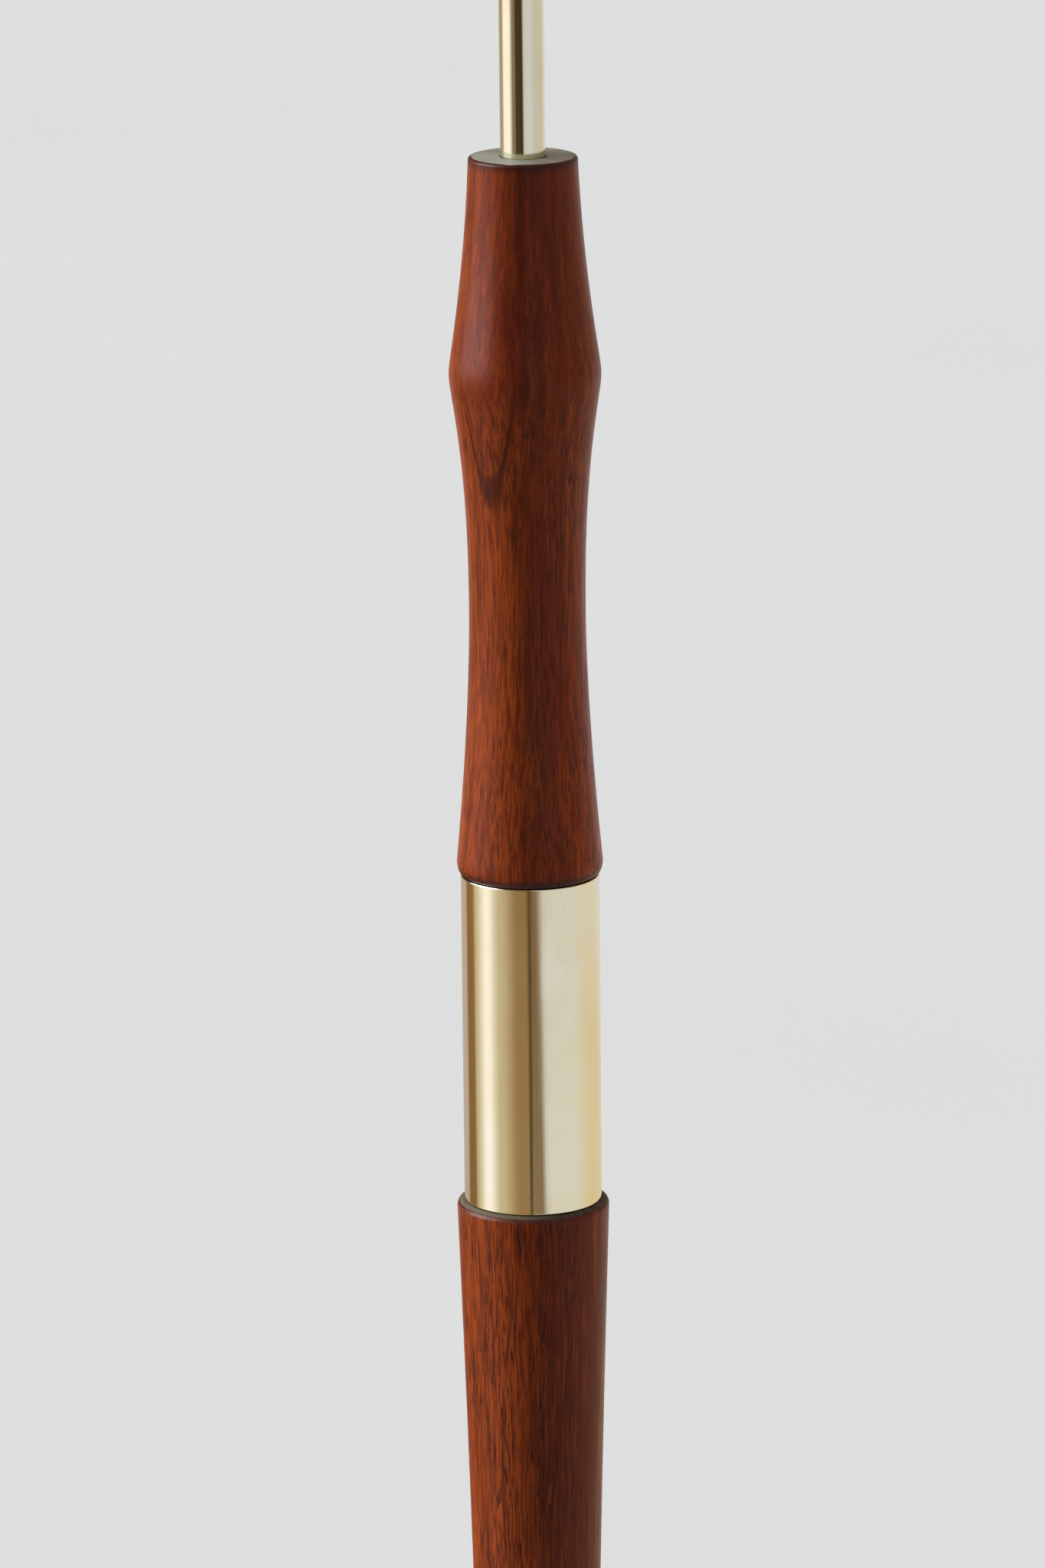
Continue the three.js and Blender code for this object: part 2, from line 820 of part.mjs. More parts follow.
// Carries a round section along a line, with its first side always towards the axis of the coil.
function wire(line, radius, sides) {
  const positions = [];
  const index = [];
  line.forEach((point, i) => {
    const back = line[Math.max(i - 1, 0)];
    const ahead = line[Math.min(i + 1, line.length - 1)];
    const end = i === 0 || i === line.length - 1;
    const along = end ? new THREE.Vector3(0, 0, 1) : ahead.clone().sub(back).normalize();
    const inward = new THREE.Vector3(point.x, point.y, 0).negate();
    inward.addScaledVector(along, -inward.dot(along)).normalize();
    const across = new THREE.Vector3().crossVectors(along, inward);
    for (let side = 0; side < sides; side++) {
      const angle = (side * 2 * Math.PI) / sides;
      const corner = point.clone();
      corner.addScaledVector(inward, radius * Math.cos(angle));
      corner.addScaledVector(across, radius * Math.sin(angle));
      positions.push(...corner);
    }
  });
  for (let i = 0; i < line.length - 1; i++) {
    for (let side = 0; side < sides; side++) {
      const a = i * sides + side;
      const b = i * sides + ((side + 1) % sides);
      index.push(a, b, b + sides, a, b + sides, a + sides);
    }
  }
  const last = (line.length - 1) * sides;
  for (let side = 1; side < sides - 1; side++) {
    index.push(0, side + 1, side, last, last + side, last + side + 1);
  }
  return new THREE.BufferGeometry()
    .setAttribute("position", new THREE.Float32BufferAttribute(positions, 3))
    .setIndex(index);
}
add("spring", wire(springLine, springWire, springSides), steel);

// Least gap of the wire to itself, measured between points that lie a half turn or more apart along it
let springGap = Infinity;
coilLine.forEach((a, i) => {
  coilLine.slice(i + springSteps / 2).forEach((b) => {
    springGap = Math.min(springGap, a.distanceTo(b) - 2 * springWire);
  });
});
console.log(`spring: least gap between turns ${springGap.toFixed(2)} mm`);

export default lamp;
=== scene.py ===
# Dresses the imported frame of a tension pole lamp: two turned wood pieces, lacquered brass, enamelled shades,
# frosted bulbs, a sprung top and a plain pale studio. Heights come from the frame, and the sizes here are in
# millimetres. Every surface is a function of two parameters, worked out as whole arrays.
import json
import math
from dataclasses import dataclass

import bmesh
import bpy
import numpy as np
from bpy.props import FloatProperty, FloatVectorProperty, IntProperty, PointerProperty
from bpy.types import Operator, Panel, PropertyGroup
from mathutils import Euler, Matrix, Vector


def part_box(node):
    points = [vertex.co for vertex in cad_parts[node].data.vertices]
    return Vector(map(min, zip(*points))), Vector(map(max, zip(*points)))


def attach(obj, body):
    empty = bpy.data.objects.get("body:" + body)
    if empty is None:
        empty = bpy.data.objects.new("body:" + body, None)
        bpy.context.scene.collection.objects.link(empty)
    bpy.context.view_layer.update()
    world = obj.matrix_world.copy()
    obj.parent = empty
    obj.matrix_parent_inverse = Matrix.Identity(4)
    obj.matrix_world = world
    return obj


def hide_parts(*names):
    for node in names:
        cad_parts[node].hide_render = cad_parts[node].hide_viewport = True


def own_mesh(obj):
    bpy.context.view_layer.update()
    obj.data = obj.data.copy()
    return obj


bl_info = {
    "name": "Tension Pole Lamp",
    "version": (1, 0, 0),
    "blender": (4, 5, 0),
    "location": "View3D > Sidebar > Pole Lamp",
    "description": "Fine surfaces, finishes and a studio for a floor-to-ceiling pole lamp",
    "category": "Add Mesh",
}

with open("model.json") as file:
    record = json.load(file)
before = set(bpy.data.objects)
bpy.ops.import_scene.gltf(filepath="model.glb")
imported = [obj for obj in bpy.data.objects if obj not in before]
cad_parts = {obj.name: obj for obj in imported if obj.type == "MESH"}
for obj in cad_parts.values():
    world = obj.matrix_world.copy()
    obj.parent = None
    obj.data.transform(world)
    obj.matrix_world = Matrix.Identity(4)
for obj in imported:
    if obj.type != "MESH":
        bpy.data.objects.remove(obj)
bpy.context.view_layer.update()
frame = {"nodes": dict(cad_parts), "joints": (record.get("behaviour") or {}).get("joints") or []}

MM = 0.001
TAU = 2 * math.pi
WELD = 1e-6
SHARP_EDGE = math.radians(38)

# Steps of an arc, how far past an arc its holding points lie, and where a plate's faces have their inner row
ARC_STEPS = 6
HOLD_SHARE = 0.4
FACE_SHARE = 0.75

# Clearances
SEAT = 0.3
SLIP = 0.3
WOOD_SLIP = 0.7

# Pole and its tubes
POLE_RADIUS = 8
POLE_WALL = 1.2
EXTENSION_RADIUS = 6.5
EXTENSION_WALL = 1
MOUTH_EDGE = 0.25

# Pads and cups
PAD_RADIUS = 22
PAD_HEIGHT = 7
PAD_GRIP = 3
PAD_EDGE = 1
PAD_GROOVES = (6, 11, 16)
GROOVE_HALF = 0.7
GROOVE_DEPTH = 0.6
CUP_RADIUS = 26
CUP_RIM = 5
CUP_EDGE = 0.7
FLANK_STEPS = 28
FOOT_NECK = 11
FOOT_NECK_HEIGHT = 14
FOOT_SOCKET = 22
TOP_NECK = 7.5
TOP_NECK_HEIGHT = 12
TOP_SOCKET = 20
GRUB_RADIUS = 2
GRUB_KEY = 1.1
GRUB_KEY_DEPTH = 1.6
HEX_SIDES = 6

# Cord inlet
INLET_RADIUS = 4
INLET_FLANGE = 6
INLET_FLANGE_HEIGHT = 2.2
LEAD_RADIUS = 2.5
BUSHING_EDGE = 0.6

# Stem
TIE_RADIUS = 4.9
LOWER_END = 19.3
LIP_RADIUS = 27.7
LIP_HEIGHT = 2.5
LIP_STEPS = 6
LOWER_POWER = 1.7
LOWER_ROWS = 90
WOOD_EDGE = 1.2
SOCKET_EDGE = 0.35
SPIGOT_RADIUS = 23.5
COLLAR_RADIUS = 25
COLLAR_WALL = 1.2
COLLAR_EDGE = 0.3
UPPER_TOP = 19.5
APEX_RADIUS = 27.85
RIDGE_DROP = 78.7
RIDGE_SOFTNESS = 1.27
FLARE_STRAIGHT_SHARE = 0.36
FLARE_POWER = 2
WAIST_RADIUS = 20.95
WAIST_DROP = 166.2
WAIST_UP_POWER = 2.45
WAIST_DOWN_POWER = 1.64
BASE_RADIUS = 26.4
BASE_ROUND = 4.8
BASE_SEAT = 24.2
RIDGE_REACH = 12
SKIRT_ROWS = 70
RIDGE_ROWS = 40
FLARE_ROWS = 36

# The side of the wood that faces the light, which is painted palest as painted light, as a turn from the back
# towards the left
LIT_SIDE_TURN = math.radians(60)

# Hubs, arms and tilt joints
STOP_RADIUS = 11.5
STOP_EDGE = 0.6
HUB_RADIUS = 13
HUB_CHAMFER = 1.5
HUB_EDGE = 0.4
GROOVE_RADIUS = 10.3
GROOVE_HEIGHT = 9
BOSS_RADIUS = 6
BOSS_REACH = 21
BOSS_FILLET = 2
BOSS_EDGE = 0.6
ARM_RADIUS = 4
FORK_RADIUS = 8
FORK_WIDTH = 18
FORK_NECK = 14
FORK_EDGE = 0.7
FORK_SQUARENESS = 5
ROOT_ROWS = 24
TONGUE_RADIUS = 7
TONGUE_WIDTH = 6
TONGUE_EDGE = 0.5
SCREW_RADIUS = 2.2
SCREW_HEAD = 6.5
SCREW_HEAD_HEIGHT = 6
SCREW_EDGE = 0.6
DISH_SHARE = 0.6
DISH_DEPTH = 0.5
FLUTES = 20
FLUTE_DEPTH_SHARE = 0.07
FLUTE_START_SHARE = 0.7
FLUTE_RISE_SHARE = 0.2
SIDES_PER_FLUTE = 8
NECK_RADIUS = 3
FLANGE_RADIUS = 7
FLANGE_DROP = 13
FLANGE_HEIGHT = 2
STUD_RADIUS = 2.6

# Socket cup, lamp socket and switch key
HOLDER_RADIUS = 19
HOLDER_WALL = 1.2
HOLDER_ROUND = 5
HOLDER_EDGE = 0.35
THREAD_RADIUS = 16
THREAD_PITCH = 2.4
THREAD_DEPTH = 0.5
THREAD_ROWS = 40
SHELL_RADIUS = 13.6
SHELL_PITCH = 3.6
SHELL_DEPTH = 0.45
SHELL_ROWS = 90
STUD_SOCKET = 6
KEY_SHAFT = 1.8
KEY_BEAD = 3.4
KEY_BEAD_HEIGHT = 2
KEY_REACH = 3
KEY_LENGTH = 13
KEY_WIDTH = 12
KEY_THICKNESS = 3
KEY_EDGE = 1.1

# Shade, shade ring and bulb
CROWN_RADIUS = 30
CROWN_ROUND = 4
MOUTH_RADIUS = 75
SHADE_WALL = 1.2
SHADE_POWER = 1.2
SHADE_ROWS = 60
RIM_RADIUS = 1.4
VENT_RADIUS = 2
VENT_CIRCLE = 23.7
VENTS = 6
VENT_SIDE_STEPS = 6
VENT_ROW_SHARES = (0, 0.35, 0.7, 0.92, 1)
RING_RADIUS = 20.2
RING_RIBS = 30
RING_RIB_SHARE = 0.03
SIDES_PER_RIB = 6
CAP_RADIUS = 13
CAP_HEIGHT = 25
BULB_RADIUS = 30
BULB_SHOULDER = math.radians(42)
BULB_NECK = 13.6

# Sprung top
LOCK_RADIUS = 13
LOCK_SCREW_RADIUS = 2.5
LOCK_SCREW_NECK = 2
CAP_WALL = 1.6
CAP_PLATE = 4
PLUNGER_RADIUS = 3
PLUNGER_FLANGE = 5.1
PLUNGER_FLANGE_HEIGHT = 8
SPRING_RADIUS = 6
SPRING_WIRE = 0.9
SPRING_TURNS = 12
SPRING_STEPS = 36
SPRING_SIDES = 12
CLOSED_TURNS = 1.25
GROUND_SHARE = 0.6


def sides_of(name, description, default):
    """A number of facets."""
    return IntProperty(name=name, description=description, default=default, min=12)


def colour_of(name, description, default):
    """A colour."""
    return FloatVectorProperty(name=name, description=description, default=default, subtype="COLOR")


def roughness_of(name, description, default):
    """A roughness, from a mirror's to a matt surface's."""
    return FloatProperty(name=name, description=description, default=default, subtype="FACTOR", min=0, max=1)


def length_of(name, description, default):
    """A length in metres."""
    return FloatProperty(name=name, description=description, default=default, unit="LENGTH")


def angle_of(name, description, default):
    """An angle, whose default is in degrees."""
    return FloatProperty(name=name, description=description, default=math.radians(default), subtype="ANGLE")


def strength_of(name, description, default):
    """A strength of light."""
    return FloatProperty(name=name, description=description, default=default, min=0)


class POLELAMP_PG_shapes(PropertyGroup):
    """How finely the pieces are turned"""

    stem_sides: sides_of("Stem Sides", "Facets round the wood pieces and the collar", 168)
    round_sides: sides_of("Round Sides", "Facets round the other turned pieces", 96)
    shade_sides: sides_of("Shade Sides", "Facets round a shade, a multiple of its six vents", 144)


class POLELAMP_PG_wood(PropertyGroup):
    """The turned wood"""

    light: colour_of("Light Wood", "Colour of the palest fibres", (0.43, 0.076, 0.014))
    middle: colour_of("Red Wood", "Colour of most of the wood", (0.31, 0.044, 0.010))
    dark: colour_of("Dark Wood", "Colour of the late wood and streaks", (0.115, 0.018, 0.006))
    ring_pitch: FloatProperty(
        name="Ring Pitch", description="Distance between growth rings, in millimetres", default=1.1, min=0.2
    )
    roughness: roughness_of("Oil Roughness", "Roughness of the oiled surface", 0.32)


class POLELAMP_PG_brass(PropertyGroup):
    """The lacquered brass"""

    clean: colour_of("Brass", "Colour of clean brass", (0.91, 0.83, 0.60))
    dull: colour_of("Dulled Brass", "Colour where the brass has aged under its lacquer", (0.84, 0.70, 0.40))
    roughness: roughness_of("Brass Roughness", "Roughness of the polish", 0.11)


class POLELAMP_PG_enamel(PropertyGroup):
    """The enamel of the shades"""

    outside: colour_of("Outside", "Colour of a shade's outside", (0.82, 0.77, 0.66))
    inside: colour_of("Inside", "Colour of a shade's inside", (0.86, 0.85, 0.81))


class POLELAMP_PG_studio(PropertyGroup):
    """Camera, floor and light"""

    lens: FloatProperty(
        name="Lens", description="Focal length of the camera", subtype="DISTANCE_CAMERA", default=193.2
    )
    distance: length_of("Distance", "How far in front of the pole the camera stands", 2.941)
    height: length_of("Height", "How high the camera stands", 1.5363)
    sideways: length_of("Sideways", "How far right of the pole the camera stands", -0.0024)
    pitch: angle_of("Pitch", "How far the camera looks down", 14.143)
    roll: angle_of("Roll", "How far the camera is turned about its own line of sight", -0.59)
    floor: colour_of("Floor", "Colour of the floor", (0.84, 0.84, 0.83))
    backdrop: colour_of("Backdrop", "Colour of what the camera sees past the floor", (0.70, 0.71, 0.73))
    surroundings: colour_of(
        "Surroundings", "Colour of the light from all round on what isn't metal", (0.74, 0.76, 0.79)
    )
    behind: colour_of(
        "Behind", "Colour of the room behind the lamp, which metal shows at its edges", (0.50, 0.41, 0.31)
    )
    low_fill: strength_of("Low Fill", "Strength of the light from the walls on what isn't metal", 0.17)
    high_fill: strength_of("High Fill", "Strength of the light from above on what isn't metal", 1.9)
    bounce: strength_of("Bounce", "Strength of the light from the floor on what isn't metal", 0.6)
    key: strength_of("Key", "Strength of the soft light from the left", 2.9)
    rim: strength_of("Rim", "Strength of the weaker light from the right", 1.9)


# What stands round the lamp in the studio and shows in its metal: name, azimuth of its middle and half its
# width in degrees (0 towards the camera, negative to the picture's left), softness of its sides, how far its
# middle moves per degree of elevation, lowest and highest elevation, softness of those, and its light
CARDS = (
    ("right wall", 85, 86, 24, 0, -90, 90, 5, (0.74, 0.76, 0.79)),
    ("warm wall on the left", -62, 48, 22, 0, -90, 90, 5, (0.60, 0.53, 0.39)),
    ("cool wall on the right", 45, 30, 30, 0, -15.6, -12.5, 1.6, (0.73, 0.76, 0.90)),
    ("warm wall on the right", 132, 38, 50, 0, -90, -15.2, 1.6, (0.74, 0.63, 0.45)),
    ("right wall above", 75, 55, 20, 0, -12.5, 10, 2, (0.60, 0.61, 0.62)),
    ("cool wall above", 35, 20, 40, 0, -12.5, -6.5, 2, (0.64, 0.70, 0.86)),
    ("warm wall above", 115, 60, 50, 0, -6.5, 40, 2, (0.48, 0.33, 0.17)),
    ("half-dark room", -17, 20, 34, 0, -90, 90, 5, (0.335, 0.22, 0.105)),
    ("dark room in front", 5, 10.5, 3, -3, -90, 90, 5, (0.20, 0.128, 0.057)),
    ("dark line", -2.5, 2.4, 2.5, 0, -90, 90, 5, (0.075, 0.045, 0.016)),
    ("half-dark room above", -42, 16, 20, 0, -12.5, 12, 2, (0.22, 0.18, 0.15)),
    ("deeper in the room", -16.5, 19.5, 9, 0, -12.5, 12, 2, (0.048, 0.032, 0.016)),
    ("window", -79, 13, 24, 0, -90, 90, 5, (1.08, 1.08, 1.20)),
    ("wider window", -90, 26, 26, 0, -12.5, 30, 2, (1.10, 1.06, 1.13)),
    ("window bar", -96, 1.5, 6, 0, -15.8, -12.5, 1, (0.80, 0.74, 0.64)),
    ("second window bar", -65, 1, 5, 0, -15.9, -12.5, 1, (0.70, 0.66, 0.58)),
    ("dark left", -122, 12.5, 4, 0, -90, -12.5, 2, (0.27, 0.14, 0.05)),
    ("grey left", -150, 14, 8, 0, -90, -12.5, 2, (0.52, 0.45, 0.43)),
    ("dark left below", -142, 36, 10, 0, -90, -17.4, 0.6, (0.20, 0.10, 0.045)),
    ("brown left above", -150, 34, 10, 0, -12.5, -6.5, 2, (0.46, 0.36, 0.28)),
    ("dark left above", -150, 34, 10, 0, -6.5, 40, 2, (0.20, 0.12, 0.08)),
    ("window above", -86, 26, 14, 0, 3, 42, 9, (14.0, 17.0, 19.0)),
    ("ceiling", 0, 200, 10, 0, 48, 91, 8, (0.80, 0.79, 0.77)),
    ("floor", 0, 200, 10, 0, -91, -46, 14, (0.62, 0.60, 0.56)),
)

# The elevation, in degrees, at which a leaning card's middle is at its own azimuth: what the collar shows
COLLAR_ELEVATION = -15.2

# Width of the camera's sensor in millimetres
SENSOR_WIDTH = 36

# Half the width of the floor in metres, the points along one side of it, and how wide each sun is
FLOOR_REACH = 60
FLOOR_POINTS = 9
SUN_WIDTH = math.radians(40)

# Elevations over which the light on matt surfaces changes: down to the floor's, and up to the ceiling's
FLOOR_FALL = (math.radians(-30), math.radians(-60))
CEILING_RISE = (math.radians(30), math.radians(70))

# Colours in the wood besides those of the panel: painted shade away from the light, painted shade on its far
# side, in bands, where it is calm, painted light on the side facing the light, in a marked ring, in pores, and
# at cut ends together with painted shade where the wood meets the collar
PAINTED_SHADE_WOOD = (0.09, 0.0085, 0.0058)
PAINTED_FAR_SIDE_SHADE = (0.055, 0.014, 0.007)
BANDED_WOOD = (0.120, 0.040, 0.016)
CALM_WOOD = (0.10, 0.03, 0.02)
PAINTED_LIGHT_WOOD = (0.56, 0.11, 0.020)
MARKED_WOOD = (0.050, 0.010, 0.005)
PORE_WOOD = (0.035, 0.008, 0.005)
CUT_END_AND_SHADE_WOOD = (0.040, 0.016, 0.014)

# How far the growth rings sway, in millimetres, and the relief of the fibres against that of the pores
RING_SWAY = 3.2
FIBRE_RELIEF_SHARE = 0.25

# Specks in the brass, and how much stronger its slow waves are than the marks of polishing
BRASS_SPECK = (0.45, 0.33, 0.16)
BRASS_WAVES = 100

# What most values of a noise lie between
NOISE_SPAN = (0.3, 0.7)


# Shapes


def rounded(corners, steps=ARC_STEPS):
    """Rounds the corners of a profile.

    A corner is (radius, height), or (radius, height, rounding). With half the corner's angle h, a rounding f
    becomes an arc of radius f that touches both sides f / tan h from the corner, about a centre f / sin h
    along the bisector. A holding point past each end of an arc keeps the shading of long sides flat.
    """
    spots = np.array([corner[:2] for corner in corners], float)
    closed = np.allclose(spots[0], spots[-1])
    count = len(spots) - closed
    share = np.linspace(0, 1, steps + 1)[:, None]
    points = []
    for i in range(count):
        corner = spots[i]
        rounding = corners[i][2] if len(corners[i]) > 2 else 0
        if not rounding:
            points.append(corner[None])
            continue
        back, ahead = spots[(i - 1) % count] - corner, spots[(i + 1) % count] - corner
        back_length, ahead_length = np.hypot(*back), np.hypot(*ahead)
        back, ahead = back / back_length, ahead / ahead_length
        half = math.acos(np.clip(back @ ahead, -1, 1)) / 2
        touch = rounding / math.tan(half)
        bisector = (back + ahead) / np.hypot(*(back + ahead))
        centre = corner + bisector * rounding / math.sin(half)
        first, last = corner + touch * back - centre, corner + touch * ahead - centre
        sweep = math.pi - 2 * half
        arc = centre + (np.sin((1 - share) * sweep) * first + np.sin(share * sweep) * last) / math.sin(sweep)
        holds = [
            corner + side * (touch + HOLD_SHARE * min(rounding, max(length / 2 - touch, 0)))
            for side, length in ((back, back_length), (ahead, ahead_length))
        ]
        points += [holds[0][None], arc, holds[1][None]]
    profile = np.concatenate(points)
    return np.vstack([profile, profile[:1]]) if closed else profile


def ring(outer, inner, low, high, edge):
    """The closed profile of a plain ring with rounded edges."""
    return rounded([
        (inner, low, edge), (outer, low, edge), (outer, high, edge), (inner, high, edge), (inner, low),
    ])


def bar(radius, low, high, edge):
    """The profile of a solid bar with rounded ends."""
    return rounded([(0, low), (radius, low, edge), (radius, high, edge), (0, high)])


def lattice(grid, closed_rows=False, closed_columns=True):
    """A surface over a grid of points: each quad joins a point to the next column, the next row and back."""
    rows, columns = grid.shape[:2]
    index = np.arange(rows * columns).reshape(rows, columns)
    if closed_rows:
        index = np.vstack([index, index[:1]])
    if closed_columns:
        index = np.hstack([index, index[:, :1]])
    quads = np.stack([index[:-1, :-1], index[:-1, 1:], index[1:, 1:], index[1:, :-1]], axis=-1)
    return grid.reshape(-1, 3), quads.reshape(-1, 4)


def revolve(profile, sides, swell=None):
    """Turns a profile about Z: the point (r, h) at the turn a becomes (r cos a, r sin a, h).

    swell is a function of r, h and a that multiplies r, for flutes, threads, ribs and hexagons.
    """
    closed = np.allclose(profile[0], profile[-1])
    rows = profile[:-1] if closed else profile
    turn = np.arange(sides) * TAU / sides
    height = rows[:, 1:] + 0 * turn
    radius = rows[:, :1] * (1 if swell is None else swell(rows[:, :1], rows[:, 1:], turn)) + 0 * turn
    return lattice(np.stack([radius * np.cos(turn), radius * np.sin(turn), height], axis=-1), closed)


def fluted(count, share, radius):
    """Cuts flutes: the radius loses a share of itself, following 1 - cos(n a), near its full radius only."""

    def swell(r, h, a):
        near_edge = np.clip((r / radius - FLUTE_START_SHARE) / FLUTE_RISE_SHARE, 0, 1)
        return 1 - share * near_edge * (1 - np.cos(count * a)) / 2

    return swell


def threaded(pitch, depth, radius, low, high):
    """Cuts a thread between two heights: the radius falls by a cosine of h / pitch less the turn."""

    def swell(r, h, a):
        wave = (1 + np.cos(TAU * h / pitch - a)) / 2
        inside = np.clip((h - low) / pitch, 0, 1) * np.clip((high - h) / pitch, 0, 1)
        return 1 - depth / radius * wave * inside * (np.abs(r - radius) < SLIP)

    return swell


def hexagonal(radius):
    """Makes a hexagon of what lies inside a radius: r over the cosine of the turn from the nearest flat."""

    def swell(r, h, a):
        side = TAU / HEX_SIDES
        flat = np.cos(np.mod(a, side) - side / 2)
        return np.where(r < radius + SLIP, math.cos(side / 2) / flat, 1)

    return swell


def at_height(spots, height):
    """Points of a plan, given a height."""
    return np.concatenate([spots, np.full((*spots.shape[:-1], 1), float(height))], axis=-1)


def plate(outline, half, edge, steps=ARC_STEPS):
    """A flat plate over a closed outline, with rounded edges.

    The outline steps in along its own normals by edge (1 - cos b) as the height falls short of the face by
    edge (1 - sin b), and the faces close on the outline's centre.
    """
    along = np.roll(outline, -1, axis=0) - np.roll(outline, 1, axis=0)
    inward = np.stack([-along[:, 1], along[:, 0]], axis=-1) / np.hypot(*along.T)[:, None]
    bend = np.linspace(0, math.pi / 2, steps + 1)
    step_in = np.concatenate([edge * (1 - np.cos(bend))[::-1], edge * (1 - np.cos(bend))])
    height = np.concatenate([edge * (1 - np.sin(bend))[::-1] - half, half - edge * (1 - np.sin(bend))])
    sides = [at_height(outline + inward * distance, level) for distance, level in zip(step_in, height)]
    middle = outline.mean(axis=0)
    centre = 0 * outline + middle
    inner = middle + (outline - middle) * FACE_SHARE
    under = [at_height(centre, -half), at_height(inner, -half)]
    over = [at_height(inner, half), at_height(centre, half)]
    return lattice(np.stack([*under, *sides, *over]))


def joined(*surfaces):
    """Several surfaces as one list of points and one of quads."""
    starts = np.cumsum([0] + [len(points) for points, _ in surfaces[:-1]])
    quads = [quads + start for (_, quads), start in zip(surfaces, starts)]
    return np.vstack([points for points, _ in surfaces]), np.vstack(quads)


def along_x(surface):
    """Lays what was built up Z along X: (x, y, z) becomes (z, y, -x)."""
    return surface[0][:, [2, 1, 0]] * (1, 1, -1), surface[1]


def along_y(surface):
    """Lays what was built up Z along Y: (x, y, z) becomes (x, z, -y)."""
    return surface[0][:, [0, 2, 1]] * (1, 1, -1), surface[1]


def shifted(surface, x=0, y=0, z=0):
    """Moves a surface."""
    return surface[0] + (x, y, z), surface[1]


def swung(surface, turn):
    """Turns a surface about Z."""
    cosine, sine = math.cos(turn), math.sin(turn)
    return surface[0] @ np.array([[cosine, sine, 0], [-sine, cosine, 0], [0, 0, 1]]), surface[1]


def hung(surface, top):
    """Turns a surface over about X and hangs it from a height: (x, y, z) becomes (x, -y, top - z)."""
    return surface[0] * (1, -1, -1) + (0, 0, top), surface[1]


def smooth_step(share):
    """The smooth step of a share s: three times s squared, less twice s cubed."""
    return share**2 * (3 - 2 * share)


def curve(start, first, second, end, steps):
    """A cubic curve between two points, drawn by two others."""
    t = np.linspace(0, 1, steps + 1)[:, None]
    start, first, second, end = (np.array(point, float) for point in (start, first, second, end))
    return (1 - t) ** 3 * start + 3 * t * (1 - t) ** 2 * first + 3 * t**2 * (1 - t) * second + t**3 * end


def ellipse(centre, reach, rise, start, end, steps=ARC_STEPS * 2):
    """Points of an ellipse about a centre between two angles in quarter turns, as (radius, height) pairs."""
    angle = np.linspace(start, end, steps + 1) * math.pi / 2
    return list(zip(centre[0] + reach * np.cos(angle), centre[1] + rise * np.sin(angle)))


def heights(node):
    """Lowest and highest height of a CAD node, in millimetres."""
    low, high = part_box(node)
    return low.z / MM, high.z / MM


def middle_height(node):
    """The height of a CAD node's middle."""
    return sum(heights(node)) / 2


def piece(name, parts, body, replaced=()):
    """Makes one object of (surface, finish) parts, welds their seams and lets it ride a body."""
    points, quads = joined(*(surface for surface, _ in parts))
    finishes = list(dict.fromkeys(finish for _, finish in parts))
    marks = np.concatenate([np.full(len(surface[1]), finishes.index(finish)) for surface, finish in parts])
    mesh = bpy.data.meshes.new(name)
    mesh.from_pydata((points * MM).tolist(), [], quads.tolist())
    mesh.polygons.foreach_set("material_index", marks)
    welded = bmesh.new()
    welded.from_mesh(mesh)
    bmesh.ops.remove_doubles(welded, verts=welded.verts, dist=WELD)
    welded.to_mesh(mesh)
    welded.free()
    mesh.shade_smooth()
    mesh.set_sharp_from_angle(angle=SHARP_EDGE)
    for finish in finishes:
        mesh.materials.append(finish_named(finish))
    made = bpy.data.objects.new(name, mesh)
    bpy.context.collection.objects.link(made)
    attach(made, body)
    if replaced:
        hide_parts(*replaced)
    return made


def stand_in(node, body, slot, *parts):
    """A fine surface, of (surface, finish) parts, that replaces one CAD node."""
    return piece(f"{node}_surface", parts, body, [node])


@dataclass
class Head:
    """One head: its number, the height of its hub, the reach of its arm and its turn about the pole."""

    number: int
    height: float
    reach: float
    turn: float

    def named(self, part):
        """The name of one of the head's nodes or bodies."""
        return f"head_{self.number}_{part}"

    def at_hub(self, surface):
        """Puts a surface that was drawn from the hub's middle in its place."""
        return shifted(swung(surface, self.turn), z=self.height)

    def at_pivot(self, surface):
        """Puts a surface that was drawn from the tilt axis in its place."""
        return self.at_hub(shifted(surface, x=self.reach))

    def drops(self, part):
        """Lowest and highest height of one of the head's CAD nodes, from the tilt axis."""
        low, high = heights(self.named(part))
        return low - self.height, high - self.height

    def hang(self, part, body, slot, *parts):
        """Puts (surface, finish) parts, drawn from the tilt axis, in the place of one of the head's nodes."""
        placed = [(self.at_pivot(surface), finish) for surface, finish in parts]
        return stand_in(self.named(part), self.named(body), slot, *placed)


def heads():
    """The heads, from the tilt joints of the frame."""
    tilts = [joint for joint in frame["joints"] if joint["name"].endswith("_tilt")]
    for number, joint in enumerate(tilts, start=1):
        x, y, z = (coordinate / MM for coordinate in joint["pos_m"])
        yield Head(number, z, math.hypot(x, y), math.atan2(y, x))


def pad():
    """A rubber disc, with round grooves in its underside."""
    corners = [(0, 0)]
    for groove in PAD_GROOVES:
        corners += [
            (groove - GROOVE_HALF, 0),
            (groove - GROOVE_HALF, GROOVE_DEPTH),
            (groove + GROOVE_HALF, GROOVE_DEPTH),
            (groove + GROOVE_HALF, 0),
        ]
    return rounded([*corners, (PAD_RADIUS, 0, PAD_EDGE), (PAD_RADIUS, PAD_HEIGHT), (0, PAD_HEIGHT)])


